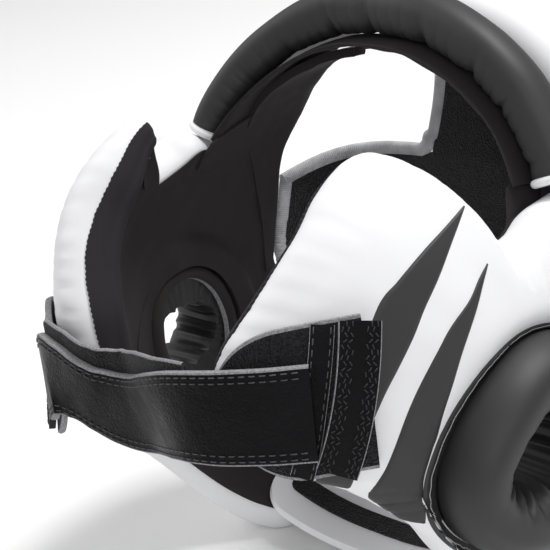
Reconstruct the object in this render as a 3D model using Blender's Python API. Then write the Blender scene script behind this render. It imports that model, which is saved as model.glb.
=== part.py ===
"""Boxing headgear, lying on its back as it is put down: padded side and cheek guards with round ear
rolls, a brow band with a leather roll, a crown cross, a closing strap at the nape and a chin strap.

Head frame: X to the wearer's left, Y up to the crown, Z out of the face, origin between the ears.
Every piece is a layer around one head form. A place on it is a turn about the head's upright axis,
0 at the left ear and 90 at the face, and a rise above the ears, both in degrees. Heights count
outwards from the head form. The whole headgear hangs on one empty, which tilts it onto its back
with +Z up and sets it down on Z = 0.
"""
import math
from collections import namedtuple

import bmesh
import bpy
from mathutils import Vector

# Head space inside the padding
HEAD_HALF_WIDTH = 0.082
FACE_REACH = 0.104
NAPE_REACH = 0.082
CROWN_RISE = 0.106
JAW_DROP = 0.076
PLAN_SQUARENESS = 2.6
CROWN_SQUARENESS = 5.0
JAW_SQUARENESS = 2.6

# The right cheek is pressed in towards the jaw, most of all at the middle of this patch
RIGHT_CHEEK_TUCK = 0.0115
TUCK_TURN = 141.0
TUCK_RISE = -40.0
TUCK_HALF_TURN = 52.0
TUCK_HALF_RISE = 38.0

# How it lies on its back
LYING_TILT = math.radians(7.0)
REST_DEPTH = 0.0885

# Layers
GAP = 0.0003
LAY = 0.0009
INNER_LAY = 0.0011
LINING = 0.0020
PADDING = 0.0220
BROW_PADDING = 0.0180
FACING = 0.0020
FACING_DEPTH = 0.0090

# Ear openings, measured on the head form
EAR_FORWARD = 0.002
EAR_LEVEL = -0.004
EAR_HALF_LENGTH = 0.035
EAR_HALF_HEIGHT = 0.040
EAR_ROLL_PROUD = 0.013
TUNNEL_HALF_LENGTH = 0.013
TUNNEL_HALF_HEIGHT = 0.019
RIM_FORWARD = 0.003
RIM_LEVEL = 0.000
RIM_HALF_LENGTH = 0.031
RIM_HALF_HEIGHT = 0.024
RIM_WIDTH = 0.007
RIM_PROUD = 0.003

# Brow band
BROW_ROLL_HEIGHT = 0.0190
BROW_ROLL_DEPTH = 0.0195
BROW_BAND_RISE = 0.032
BROW_SEAM = 0.011
PIPING = 0.0018

# Straps
STRAP_SKIN = 0.0030
PANEL_SKIN = 0.0012
STRAP_BORDER = 0.008
CROWN_BAND_WIDTH = 0.040
CROWN_BAND_FORWARD = 0.017
CROWN_STRAP_WIDTH = 0.045
CROWN_STRAP_SHIFT = -0.003
CROWN_STRAP_LEAN = 0.023
NAPE_STRAP_WIDTH = 0.031
NAPE_STRAP_SKIN = 0.0040
NAPE_STRIPE_WIDTH = 0.009
CHIN_STRAP_WIDTH = 0.032
CHIN_STRAP_SKIN = 0.0030
CHIN_TAB_WIDTH = 0.052
CHIN_TAB_SKIN = 0.0024
ANCHOR_LENGTH = 0.050
ANCHOR_WIDTH = 0.0135
ANCHOR_SKIN = 0.0040

Place = namedtuple("Place", "turn rise")

# Edge of a side guard from the cheek tip down the front, along the jaw and the nape, up the back
# and forwards along the top
CHEEK_EDGE = (
    Place(64.0, -4.0),
    Place(63.0, -12.0),
    Place(60.5, -20.0),
    Place(59.5, -30.0),
    Place(59.5, -40.0),
    Place(56.0, -47.5),
)
JAW_EDGE = (
    Place(48.0, -50.5),
    Place(38.0, -49.5),
    Place(29.0, -46.5),
    Place(20.0, -42.0),
    Place(9.0, -37.5),
    Place(-2.0, -33.0),
    Place(-13.0, -29.5),
    Place(-25.0, -22.0),
    Place(-34.0, -18.0),
    Place(-43.0, -14.5),
    Place(-52.0, -10.5),
    Place(-58.0, -6.0),
    Place(-60.0, 4.0),
    Place(-60.0, 16.0),
    Place(-56.0, 25.0),
    Place(-45.0, 30.0),
    Place(-30.0, 32.5),
    Place(-10.0, 33.5),
    Place(5.0, 33.0),
    Place(18.0, 36.0),
)

# The temples and eye notches sit unevenly: as it lies, the right one is pulled down to the cheek
LEFT_TEMPLE = (
    Place(30.0, 38.5),
    Place(36.0, 39.5),
    Place(37.4, 37.5),
    Place(38.4, 29.3),
    Place(39.0, 22.4),
    Place(37.8, 17.0),
    Place(38.5, 11.5),
    Place(43.0, 7.5),
    Place(49.0, 6.5),
    Place(56.0, 4.0),
    Place(62.0, 0.0),
)
RIGHT_TEMPLE = (
    Place(28.0, 37.5),
    Place(33.0, 37.0),
    Place(36.0, 33.0),
    Place(41.6, 25.4),
    Place(46.2, 19.0),
    Place(50.3, 13.6),
    Place(49.3, 8.0),
    Place(49.8, 3.0),
    Place(52.5, 1.5),
    Place(57.0, 2.5),
    Place(62.0, -0.5),
)

# Centre of the brow roll from the left temple to the right one
BROW_LINE = (
    Place(41.45, 30.5),
    Place(47.0, 31.5),
    Place(55.1, 32.6),
    Place(63.0, 33.2),
    Place(73.5, 34.4),
    Place(81.4, 35.4),
    Place(91.2, 36.2),
    Place(101.0, 35.6),
    Place(110.0, 32.6),
    Place(118.5, 28.2),
    Place(125.5, 23.5),
    Place(131.0, 20.5),
)

# The brow band from left to right: how far it reaches up and how thick its roll is, as shares of the
# full sizes, and how far it stands off the head form
BrowShape = namedtuple("BrowShape", "along top roll stand")
BROW_SHAPE = (
    BrowShape(0.0, 0.56, 0.95, 0.0010),
    BrowShape(0.25, 0.70, 1.0, 0.0045),
    BrowShape(0.42, 0.95, 1.0, 0.0060),
    BrowShape(0.62, 0.82, 1.0, 0.0055),
    BrowShape(0.80, 0.74, 0.90, 0.0035),
    BrowShape(1.0, 0.78, 0.62, 0.0),
)

# Rings of a guard from the ear opening to its edge, and how full the padding is there
PadRing = namedtuple("PadRing", "out fill")
PAD_RINGS = (
    PadRing(0.0, 1.0),
    PadRing(0.28, 1.0),
    PadRing(0.54, 1.0),
    PadRing(0.77, 0.98),
    PadRing(0.92, 0.88),
    PadRing(1.0, 0.66),
)

# Profile of an ear roll from the tunnel to the padding, heights as shares of its full height
RollStep = namedtuple("RollStep", "out share")
EAR_ROLL_STEPS = (
    RollStep(0.0, 0.0),
    RollStep(0.0, 0.62),
    RollStep(0.16, 0.88),
    RollStep(0.44, 1.0),
    RollStep(0.74, 0.92),
    RollStep(0.94, 0.74),
    RollStep(1.0, 0.58),
    RollStep(1.0, 0.0),
    RollStep(0.5, 0.0),
)

# Centre line of the chin strap from cheek to cheek, and how far it dips below the tabs' height
ChinPlace = namedtuple("ChinPlace", "turn rise dip")
CHIN_LINE = (
    ChinPlace(39.4, -34.6, 0.0),
    ChinPlace(44.0, -39.0, 0.0),
    ChinPlace(50.0, -43.5, 0.0),
    ChinPlace(55.0, -46.3, 0.0005),
    ChinPlace(60.0, -48.9, 0.0025),
    ChinPlace(66.0, -52.1, 0.0065),
    ChinPlace(74.0, -55.6, 0.0115),
    ChinPlace(82.0, -58.1, 0.0150),
    ChinPlace(90.0, -59.5, 0.0165),
    ChinPlace(98.0, -59.6, 0.0160),
    ChinPlace(106.0, -58.2, 0.0135),
    ChinPlace(112.0, -55.6, 0.0095),
    ChinPlace(118.0, -51.6, 0.0045),
    ChinPlace(124.0, -48.4, 0.0005),
    ChinPlace(131.0, -47.3, -0.0004),
    ChinPlace(137.5, -46.8, -0.0009),
    ChinPlace(142.8, -45.6, -0.0010),
)

# Centre lines of the tabs and of the patches that hold them
LEFT_TAB_LINE = (
    Place(36.1, -27.7),
    Place(38.5, -31.0),
    Place(43.5, -37.5),
    Place(49.5, -45.0),
)
RIGHT_TAB_LINE = (
    Place(158.0, -36.0),
    Place(153.0, -38.5),
    Place(144.0, -43.5),
    Place(132.0, -49.0),
)
LEFT_ANCHOR_ENDS = (Place(46.6, -23.0), Place(29.4, -36.3))
RIGHT_ANCHOR_ENDS = (Place(150.0, -26.5), Place(161.0, -47.0))
NAPE_STRAP_ENDS = (Place(229.0, -1.0), Place(311.0, -1.0))

GUARD_STATIONS = 52
EAR_STATIONS = 32
BROW_STATIONS = 20
CHIN_STATIONS = 40
ROLL_SIDES = 12


def head_point(turn, rise):
    """The point of the head form at a turn and a rise in degrees."""
    turn = math.radians(turn)
    rise = math.radians(rise)
    ray = Vector((
        math.cos(turn) * math.cos(rise),
        math.sin(rise),
        math.sin(turn) * math.cos(rise),
    ))
    reach = FACE_REACH if ray.z >= 0.0 else NAPE_REACH
    level = CROWN_RISE if ray.y >= 0.0 else JAW_DROP
    power = CROWN_SQUARENESS if ray.y >= 0.0 else JAW_SQUARENESS
    across = abs(ray.x / HEAD_HALF_WIDTH) ** PLAN_SQUARENESS
    along = abs(ray.z / reach) ** PLAN_SQUARENESS
    plan = (across + along) ** (1.0 / PLAN_SQUARENESS)
    return ray * ((plan ** power + abs(ray.y / level) ** power) ** (-1.0 / power) - cheek_tuck(turn, rise))


def cheek_tuck(turn, rise):
    """How far the right cheek is pressed in at a turn and a rise in radians."""
    away = (turn - math.radians(TUCK_TURN)) % math.tau
    sideways = min(away, math.tau - away) / math.radians(TUCK_HALF_TURN)
    upwards = abs(rise - math.radians(TUCK_RISE)) / math.radians(TUCK_HALF_RISE)
    across = 0.5 + 0.5 * math.cos(math.pi * min(1.0, sideways))
    return RIGHT_CHEEK_TUCK * across * (0.5 + 0.5 * math.cos(math.pi * min(1.0, upwards)))


def head_normal(turn, rise):
    """The head form's outward direction at a place."""
    step = 0.05
    forwards = head_point(turn + step, rise) - head_point(turn - step, rise)
    upwards = head_point(turn, rise + step) - head_point(turn, rise - step)
    return upwards.cross(forwards).normalized()


def lift(turn, rise, height):
    """The point at a height above the head form, along its own normal."""
    return head_point(turn, rise) + head_normal(turn, rise) * height


def place_of(point):
    """The turn and rise under a point."""
    turn = math.degrees(math.atan2(point.z, point.x))
    return Place(turn % 360.0, math.degrees(math.atan2(point.y, math.hypot(point.x, point.z))))


def place_under(point, height):
    """The place whose normal reaches a point that lies at a height above the head form."""
    place = place_of(point)
    for _ in range(5):
        place = place_of(point - head_normal(*place) * height)
    return place


def over(point, height):
    """The point at a height above the head form in line with a point near the form itself."""
    return lift(*place_of(point), height)


def mirrored(places):
    return [Place(180.0 - place.turn, place.rise) for place in places]


def smooth_line(rows, count, closed=False):
    """Points spread evenly along a smooth curve through the rows of a table."""
    rows = [tuple(row) for row in rows]
    total = len(rows)
    spans = total if closed else total - 1
    fine = []
    for span in range(spans):
        picks = [span - 1, span, span + 1, span + 2]
        if closed:
            a, b, c, d = (rows[pick % total] for pick in picks)
        else:
            a, b, c, d = (rows[min(max(pick, 0), total - 1)] for pick in picks)
        for part in range(24):
            t = part / 24.0
            fine.append(tuple(
                0.5 * (2 * q + (r - p) * t + (2 * p - 5 * q + 4 * r - s) * t ** 2
                       + (3 * q - p - 3 * r + s) * t ** 3)
                for p, q, r, s in zip(a, b, c, d)
            ))
    fine.append(rows[0] if closed else rows[-1])
    lengths = [0.0]
    for before, after in zip(fine, fine[1:]):
        lengths.append(lengths[-1] + math.dist(before, after))
    steps = count if closed else count - 1
    result = []
    at = 0
    for step in range(count):
        goal = lengths[-1] * step / steps
        while at < len(fine) - 2 and lengths[at + 1] < goal:
            at += 1
        share = (goal - lengths[at]) / max(lengths[at + 1] - lengths[at], 1e-9)
        share = min(max(share, 0.0), 1.0)
        result.append(tuple(p + (q - p) * share for p, q in zip(fine[at], fine[at + 1])))
    return result


def table_value(rows, at):
    """The value of a two-column table at a place between its rows."""
    for before, after in zip(rows, rows[1:]):
        if at <= after[0]:
            share = (at - before[0]) / (after[0] - before[0])
            return before[1] + (after[1] - before[1]) * share
    return rows[-1][1]


def leather(name, red, green, blue, roughness):
    material = bpy.data.materials.new(name)
    material.use_nodes = True
    surface = material.node_tree.nodes["Principled BSDF"]
    surface.inputs["Base Color"].default_value = (red, green, blue, 1.0)
    surface.inputs["Roughness"].default_value = roughness
    surface.inputs["Metallic"].default_value = 0.0
    return material


def add_piece(name, shape, material, parent):
    """Make an object of a finished mesh, its faces turned outwards."""
    bmesh.ops.recalc_face_normals(shape, faces=shape.faces)
    mesh = bpy.data.meshes.new(name)
    shape.to_mesh(mesh)
    shape.free()
    mesh.shade_smooth()
    mesh.set_sharp_from_angle(angle=math.radians(50.0))
    mesh.materials.append(material)
    piece = bpy.data.objects.new(name, mesh)
    bpy.context.scene.collection.objects.link(piece)
    piece.parent = parent
    return piece


def ring_shape(rings):
    """A closed ring of material: every ring of points joins the next, and the last the first."""
    shape = bmesh.new()
    rows = [[shape.verts.new(point) for point in ring] for ring in rings]
    for here, there in zip(rows, rows[1:] + rows[:1]):
        for step in range(len(here)):
            after = (step + 1) % len(here)
            shape.faces.new((here[step], here[after], there[after], there[step]))
    return shape


def layer_shape(inner, outer):
    """A closed layer between two matching sets of rings, cut into triangles the same way on both
    faces, so that layers laid on one another keep their gap."""
    shape = bmesh.new()
    below = [[shape.verts.new(point) for point in ring] for ring in inner]
    above = [[shape.verts.new(point) for point in ring] for ring in outer]
    for rows in (below, above):
        for here, there in zip(rows, rows[1:]):
            for step in range(len(here)):
                after = (step + 1) % len(here)
                shape.faces.new((here[step], here[after], there[after]))
                shape.faces.new((here[step], there[after], there[step]))
    for low, high in ((below[0], above[0]), (below[-1], above[-1])):
        for step in range(len(low)):
            after = (step + 1) % len(low)
            shape.faces.new((low[step], low[after], high[after], high[step]))
    return shape


def strip_shape(sections):
    """A strip of material: each section lists its under side and its upper side across the strip.
    Both faces are cut into triangles the same way, so that strips laid on one another keep clear."""
    shape = bmesh.new()
    below = [[shape.verts.new(point) for point in under] for under, upper in sections]
    above = [[shape.verts.new(point) for point in upper] for under, upper in sections]
    for rows in (below, above):
        for here, there in zip(rows, rows[1:]):
            for step in range(len(here) - 1):
                shape.faces.new((here[step], here[step + 1], there[step + 1]))
                shape.faces.new((here[step], there[step + 1], there[step]))
    for low, high in ((below[0], above[0]), (below[-1], above[-1])):
        for step in range(len(low) - 1):
            shape.faces.new((low[step], low[step + 1], high[step + 1], high[step]))
    for edge in (0, -1):
        for at in range(len(below) - 1):
            shape.faces.new((below[at][edge], below[at + 1][edge], above[at + 1][edge], above[at][edge]))
    return shape


def rod_shape(sections):
    """A rod: closed loops of points joined along their length, with flat ends."""
    shape = bmesh.new()
    rows = [[shape.verts.new(point) for point in section] for section in sections]
    for here, there in zip(rows, rows[1:]):
        for step in range(len(here)):
            after = (step + 1) % len(here)
            shape.faces.new((here[step], here[after], there[after], there[step]))
    shape.faces.new(rows[0])
    shape.faces.new(rows[-1])
    return shape


def guard_edge(side):
    """The edge of a guard as evenly spread places, for the left side (1) or the right (-1)."""
    temple = LEFT_TEMPLE if side > 0 else RIGHT_TEMPLE
    places = [Place(*row) for row in smooth_line(CHEEK_EDGE + JAW_EDGE + temple, GUARD_STATIONS, True)]
    return places if side > 0 else mirrored(places)


def oval(forward, level, half_length, half_height, angle, side):
    """The place of a point of an oval on the side of the head form."""
    point = Vector((
        side * HEAD_HALF_WIDTH,
        level + half_height * math.sin(angle),
        forward + half_length * math.cos(angle),
    ))
    place = place_of(point)
    turn = place.turn - 360.0 if side > 0 and place.turn > 180.0 else place.turn
    return Place(turn, place.rise)


def ear_angle(place, side):
    """The direction from the ear opening's centre to a place, 0 forwards and 90 upwards."""
    centre = oval(EAR_FORWARD, EAR_LEVEL, 0.0, 0.0, 0.0, side)
    return math.atan2(place.rise - centre.rise, side * (place.turn - centre.turn))


def between(first, last, share):
    return Place(*(a + (b - a) * share for a, b in zip(first, last)))


def guard_ring(side, share):
    """A ring of places part of the way from the ear opening to the guard's edge."""
    ring = []
    for edge in guard_edge(side):
        angle = ear_angle(edge, side)
        ear = oval(EAR_FORWARD, EAR_LEVEL, EAR_HALF_LENGTH, EAR_HALF_HEIGHT, angle, side)
        ring.append(between(ear, edge, share))
    return ring


def flat_on_floor(point):
    """Press a point that would reach below the floor onto it."""
    up = Vector((0.0, math.sin(LYING_TILT), math.cos(LYING_TILT)))
    return point + up * max(0.0, -REST_DEPTH - up.dot(point))


def make_guard(name, side, material, parent):
    """The padded side of the head, from the cheek past the ear to the nape."""
    low = LINING + GAP
    inner = [[lift(*place, low) for place in guard_ring(side, row.out)] for row in PAD_RINGS]
    outer = [
        [flat_on_floor(lift(*place, low + PADDING * row.fill)) for place in guard_ring(side, row.out)]
        for row in PAD_RINGS
    ]
    return add_piece(name, layer_shape(inner, outer), material, parent)


def make_lining(name, side, material, parent):
    """The lining of a guard, open at the ear rim."""
    rim = []
    for edge in guard_edge(side):
        angle = ear_angle(edge, side)
        rim.append(oval(RIM_FORWARD, RIM_LEVEL, RIM_HALF_LENGTH, RIM_HALF_HEIGHT, angle, side))
    rings = [rim] + [guard_ring(side, row.out) for row in PAD_RINGS]
    inner = [[lift(*place, 0.0) for place in ring] for ring in rings]
    outer = [[lift(*place, LINING) for place in ring] for ring in rings]
    return add_piece(name, layer_shape(inner, outer), material, parent)


def make_facing(name, side, material, parent):
    """The mesh facing that closes the padding's front edge along the cheek."""
    edge = guard_edge(side)
    tip = CHEEK_EDGE[-1] if side > 0 else mirrored(CHEEK_EDGE)[-1]
    last = min(range(len(edge) // 2), key=lambda at: math.dist(edge[at], tip))
    sections = []
    for at in range(last + 1):
        along = lift(*edge[at + 1], 0.0) - lift(*edge[at - 1], 0.0)
        upright = lift(*edge[at], FACING_DEPTH) - lift(*edge[at], 0.0)
        outwards = along.cross(upright).normalized() * side
        near = outwards * GAP
        far = outwards * (GAP + FACING)
        foot = lift(*edge[at], 0.0)
        head = lift(*edge[at], FACING_DEPTH)
        middle = lift(*edge[at], FACING_DEPTH / 2.0)
        sections.append(([foot + near, middle + near, head + near], [foot + far, middle + far, head + far]))
    return add_piece(name, strip_shape(sections), material, parent)


def make_ear_roll(name, side, material, parent):
    """The stuffed leather ring that fills a guard's ear opening around its tunnel."""
    low = LINING + GAP
    full = PADDING + EAR_ROLL_PROUD
    rings = []
    for row in EAR_ROLL_STEPS:
        half_length = TUNNEL_HALF_LENGTH + (EAR_HALF_LENGTH - 3.0 * GAP - TUNNEL_HALF_LENGTH) * row.out
        half_height = TUNNEL_HALF_HEIGHT + (EAR_HALF_HEIGHT - 3.0 * GAP - TUNNEL_HALF_HEIGHT) * row.out
        ring = []
        for step in range(EAR_STATIONS):
            angle = math.tau * step / EAR_STATIONS
            place = oval(EAR_FORWARD, EAR_LEVEL, half_length, half_height, angle, side)
            ring.append(lift(*place, low + full * row.share))
        rings.append(ring)
    return add_piece(name, ring_shape(rings), material, parent)


def make_ear_rim(name, side, material, parent):
    """The small padded rim of the ear tunnel on the lining side."""
    rings = []
    top = LINING - LAY
    for inset, height in ((2.0 * GAP, top), (2.0 * GAP, 0.0), (RIM_WIDTH / 2.0, -RIM_PROUD),
                          (RIM_WIDTH, 0.0), (RIM_WIDTH, top)):
        ring = []
        for step in range(EAR_STATIONS):
            angle = math.tau * step / EAR_STATIONS
            place = oval(RIM_FORWARD, RIM_LEVEL, RIM_HALF_LENGTH - inset, RIM_HALF_HEIGHT - inset, angle, side)
            ring.append(lift(*place, height))
        rings.append(ring)
    return add_piece(name, ring_shape(rings), material, parent)


Station = namedtuple("Station", "centre along out across")


def stations_along(places, count, height=0.0):
    """Evenly spread stations on a smooth line over the head form, with their own axes."""
    line = [Place(*row) for row in smooth_line(places, count)]
    points = [lift(*place, height) for place in line]
    stations = []
    for at, place in enumerate(line):
        before = points[max(at - 1, 0)]
        after = points[min(at + 1, count - 1)]
        along = (after - before).normalized()
        out = (lift(*place, height + 0.01) - points[at]).normalized()
        across = out.cross(along).normalized()
        stations.append(Station(points[at], along, out, across))
    return stations


def brow_shape(at):
    """The brow band's shape at one of its stations."""
    along = at / (BROW_STATIONS - 1)
    values = [table_value([(row.along, row[column]) for row in BROW_SHAPE], along) for column in (1, 2, 3)]
    return BrowShape(along, *values)


def brow_roll_ring(station, shape, inset, sides):
    """The centre of the brow roll at a station and the spokes to a line around it."""
    out = BROW_ROLL_DEPTH / 2.0 * shape.roll
    across = BROW_ROLL_HEIGHT / 2.0 * shape.roll
    centre = station.centre + station.out * (LINING + 2.0 * GAP + shape.stand + out)
    return centre, [
        station.out * (out - inset) * math.cos(math.tau * side / sides)
        + station.across * (across - inset) * math.sin(math.tau * side / sides)
        for side in range(sides)
    ]


def make_roll(name, material, parent):
    """The stuffed leather roll along the brow."""
    sections = []
    for at, station in enumerate(stations_along(BROW_LINE, BROW_STATIONS)):
        centre, spokes = brow_roll_ring(station, brow_shape(at), 0.0, ROLL_SIDES)
        sections.append([centre + spoke for spoke in spokes])
    return add_piece(name, rod_shape(sections), material, parent)


def make_piping(name, side, material, parent):
    """The white piping around the end of the brow roll, against the guard."""
    stations = stations_along(BROW_LINE, BROW_STATIONS)
    end = 0 if side > 0 else BROW_STATIONS - 1
    away = -stations[end].along if side > 0 else stations[end].along
    centre, spokes = brow_roll_ring(stations[end], brow_shape(end), PIPING, 18)
    rings = []
    for spoke in spokes:
        rings.append([
            centre + away * (PIPING + GAP) + spoke
            + spoke.normalized() * PIPING * math.cos(math.tau * turn / 5)
            + away * PIPING * math.sin(math.tau * turn / 5)
            for turn in range(5)
        ])
    return add_piece(name, ring_shape(rings), material, parent)


def brow_strip(reach_from, low, high, fill=1.0):
    """Sections of a layer of the brow band, from a distance above the roll's centre line to its top."""
    sections = []
    for at, station in enumerate(stations_along(BROW_LINE, BROW_STATIONS)):
        shape = brow_shape(at)
        first = reach_from(shape)
        under = []
        upper = []
        for step in range(4):
            reach = first + (BROW_BAND_RISE * shape.top - first) * step / 3.0
            point = station.centre - station.across * reach
            full = fill if step in (0, 3) else 1.0
            under.append(over(point, shape.stand + low))
            upper.append(over(point, shape.stand + low + (high - low) * full))
        sections.append((under, upper))
    return sections


def make_brow_lining(name, material, parent):
    """The lining behind the brow roll and the forehead padding."""
    return add_piece(name, strip_shape(brow_strip(lambda shape: -BROW_SEAM, 0.0, LINING)), material, parent)


def make_forehead_pad(name, material, parent):
    """The white forehead padding above the roll."""
    low = LINING + GAP
    sections = brow_strip(
        lambda shape: BROW_ROLL_HEIGHT / 2.0 * shape.roll + LAY, low, low + BROW_PADDING, 0.7,
    )
    return add_piece(name, strip_shape(sections), material, parent)


def across_crown(angle, forward):
    """The head form's place at an angle over the crown, 0 at the left, in a plane across the head."""
    point = Vector((
        math.cos(math.radians(angle)) * HEAD_HALF_WIDTH,
        math.sin(math.radians(angle)) * CROWN_RISE,
        forward,
    ))
    for _ in range(12):
        point = over(point, 0.0)
        point.z = forward
    return place_of(over(point, 0.0))


def along_crown(angle, sideways):
    """The head form's place at an angle over the crown, 0 at the face, in a plane along the head."""
    reach = FACE_REACH if angle < 90.0 else NAPE_REACH
    point = Vector((
        sideways,
        math.sin(math.radians(angle)) * CROWN_RISE,
        math.cos(math.radians(angle)) * reach,
    ))
    for _ in range(12):
        point = over(point, 0.0)
        point.x = sideways
    return place_of(over(point, 0.0))


def guard_top(turn, side):
    """The rise of a guard's top edge above a turn."""
    places = [place for place in guard_edge(side) if place.rise > 20.0]
    rows = sorted(Place(side * (place.turn - (0.0 if side > 0 else 180.0)), place.rise) for place in places)
    rows = [row for row in rows if row.turn < 37.0]
    at = side * (turn - (0.0 if side > 0 else 180.0))
    at = at - 360.0 if at > 180.0 else at
    return table_value(rows, at)


def crown_start(forward, side):
    """The angle at which the crown band clears the guard's top edge."""
    angle = 25.0
    while angle < 80.0:
        place = across_crown(angle if side > 0 else 180.0 - angle, forward)
        if place.rise > guard_top(place.turn, side) + 1.4:
            return angle
        angle += 0.25
    return angle


def crown_band_rows(width, ease):
    """Rows of places of the band over the crown, across its width, from left to right."""
    columns = []
    for step in range(3):
        forward = CROWN_BAND_FORWARD + width * (step / 2.0 - 0.5)
        first = crown_start(forward, 1) + ease
        last = 180.0 - crown_start(forward, -1) - ease
        columns.append([across_crown(first + (last - first) * at / 24.0, forward) for at in range(25)])
    return list(zip(*columns))


def make_crown_band(name, width, ease, low, high, material, parent):
    sections = [
        ([lift(*place, low) for place in row], [lift(*place, high) for place in row])
        for row in crown_band_rows(width, ease)
    ]
    return add_piece(name, strip_shape(sections), material, parent)


def crown_strap_side(step, width, face_side, share):
    """How far to the left a line of the crown strap runs, from the crown band (0) to its end (1)."""
    lean = CROWN_STRAP_LEAN * share if face_side else 0.0
    return CROWN_STRAP_SHIFT + lean + width * (step / 4.0 - 0.5)


def crown_strap_rows(width, face_side, ease):
    """Rows of places of the strap over the crown, from the crown band forwards or backwards."""
    rows = []
    count = 7 if face_side else 17
    for at in range(count):
        share = at / (count - 1)
        row = []
        for step in range(5):
            ends = [crown_strap_side(step, width, face_side, end) for end in (0.0, 1.0)]
            first, last = crown_strap_angles(*ends, face_side, ease)
            sideways = crown_strap_side(step, width, face_side, share)
            row.append(along_crown(first + (last - first) * share, sideways))
        rows.append(row)
    return rows


def brow_station(sideways):
    """The number of the brow band's station nearest to a distance to the left."""
    stations = stations_along(BROW_LINE, BROW_STATIONS)
    return min(range(BROW_STATIONS), key=lambda at: abs(stations[at].centre.x - sideways))


def brow_top(sideways):
    """The head form's point just above the brow band's top edge, at a distance to the left."""
    at = brow_station(sideways)
    station = stations_along(BROW_LINE, BROW_STATIONS)[at]
    return over(station.centre - station.across * (BROW_BAND_RISE * brow_shape(at).top + LAY), 0.0)


def crown_strap_angles(start, end, face_side, ease):
    """Where a line of the crown strap leaves the crown band and where it ends."""
    band_half = CROWN_BAND_WIDTH / 2.0 + GAP
    edge = CROWN_BAND_FORWARD + (band_half if face_side else -band_half)
    first = 90.0
    while (along_z(first, start) < edge) if face_side else (along_z(first, start) > edge):
        first += -0.25 if face_side else 0.25
    if face_side:
        top = brow_top(end)
        last = math.degrees(math.atan2(top.y / CROWN_RISE, top.z / FACE_REACH))
        return first - ease, last + ease
    level = NAPE_STRAP_WIDTH / 2.0 + GAP
    return first + ease, 180.0 - math.degrees(math.asin(level / CROWN_RISE)) - ease


def along_z(angle, sideways):
    return head_point(*along_crown(angle, sideways)).z


def make_crown_strap(name, width, face_side, ease, low, high, material, parent):
    """A layer of the strap over the crown, which climbs onto the brow band at the front."""
    middle = CROWN_STRAP_SHIFT + CROWN_STRAP_LEAN
    foot = CROWN_BAND_FORWARD + CROWN_BAND_WIDTH / 2.0
    climb = brow_shape(brow_station(middle)).stand if face_side else 0.0
    sections = []
    for row in crown_strap_rows(width, face_side, ease):
        stands = []
        for place in row:
            share = (head_point(*place).z - foot) / (brow_top(middle).z - foot)
            stands.append(climb * min(1.0, max(0.0, share)))
        sections.append((
            [lift(*place, low + stand) for place, stand in zip(row, stands)],
            [lift(*place, high + stand) for place, stand in zip(row, stands)],
        ))
    return add_piece(name, strip_shape(sections), material, parent)


def band_sections(places, count, width, low, high, end_round=(0.0, 0.0), shift=0.0):
    """Sections of a flat strap over the head form; low and high give its faces' heights."""
    height = high(0.0)
    stations = stations_along(places, count, height)
    lengths = [0.0]
    for before, after in zip(stations, stations[1:]):
        lengths.append(lengths[-1] + (after.centre - before.centre).length)
    sections = []
    for at, station in enumerate(stations):
        share = 1.0
        for distance, round_length in ((lengths[at], end_round[0]), (lengths[-1] - lengths[at], end_round[1])):
            if distance < round_length:
                share = min(share, max(0.3, math.sqrt(1.0 - (1.0 - distance / round_length) ** 2)))
        along = lengths[at] / lengths[-1]
        under = []
        upper = []
        for step in range(4):
            point = station.centre + station.across * (shift + width * share * (step / 3.0 - 0.5))
            place = place_under(point, height)
            under.append(lift(*place, low(along)))
            upper.append(lift(*place, high(along)))
        sections.append((under, upper))
    return sections


def tab_top():
    """Height of the chin tab's outer face."""
    return LINING + GAP + PADDING + LAY + CHIN_TAB_SKIN


def make_tab(name, side, material, parent):
    """The short strap sewn to a cheek, whose round end the chin strap closes onto."""
    places = LEFT_TAB_LINE if side > 0 else RIGHT_TAB_LINE
    sections = band_sections(
        places, 12, CHIN_TAB_WIDTH,
        lambda along: tab_top() - CHIN_TAB_SKIN,
        lambda along: tab_top(),
        (0.0, CHIN_TAB_WIDTH / 2.0),
    )
    return add_piece(name, strip_shape(sections), material, parent)


def make_chin_strap(name, material, parent):
    """The chin strap from one cheek under the chin to the other, flat across its width."""
    rows = [ChinPlace(*row) for row in smooth_line(CHIN_LINE, CHIN_STATIONS)]
    points = [lift(row.turn, row.rise, tab_top() + LAY - row.dip) for row in rows]
    sections = []
    for at, row in enumerate(rows):
        along = points[min(at + 1, CHIN_STATIONS - 1)] - points[max(at - 1, 0)]
        out = head_normal(row.turn, row.rise)
        across = out.cross(along).normalized()
        out = along.cross(across).normalized()
        under = [points[at] + across * CHIN_STRAP_WIDTH * (step / 2.0 - 0.5) for step in range(3)]
        sections.append((under, [point + out * CHIN_STRAP_SKIN for point in under]))
    return add_piece(name, strip_shape(sections), material, parent)


def make_anchor(name, side, material, parent):
    """The stitched patch that holds a chin tab on the cheek."""
    places = LEFT_ANCHOR_ENDS if side > 0 else RIGHT_ANCHOR_ENDS
    foot = tab_top() + LAY
    middle = lift(*between(*places, 0.5), foot)
    ends = [lift(*place, foot) for place in places]
    reach = (ends[1] - ends[0]).normalized() * (ANCHOR_LENGTH / 2.0)
    span = [place_under(middle - reach, foot), place_under(middle + reach, foot)]
    sections = band_sections(span, 7, ANCHOR_WIDTH, lambda along: foot, lambda along: foot + ANCHOR_SKIN)
    return add_piece(name, strip_shape(sections), material, parent)


def make_nape_strap(name, width, skin, top, inset, shift, material, parent):
    """A layer of the closing strap, laid inside the guards' back ends."""
    first, last = NAPE_STRAP_ENDS
    places = [between(first, last, step / 4.0) for step in range(5)]
    places = [Place(place.turn + inset * (0.5 - step / 4.0), place.rise) for step, place in enumerate(places)]
    sections = band_sections(
        places, 15, width,
        lambda along: top - skin,
        lambda along: top,
        (width / 2.0, width / 2.0),
        shift,
    )
    return add_piece(name, strip_shape(sections), material, parent)


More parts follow.
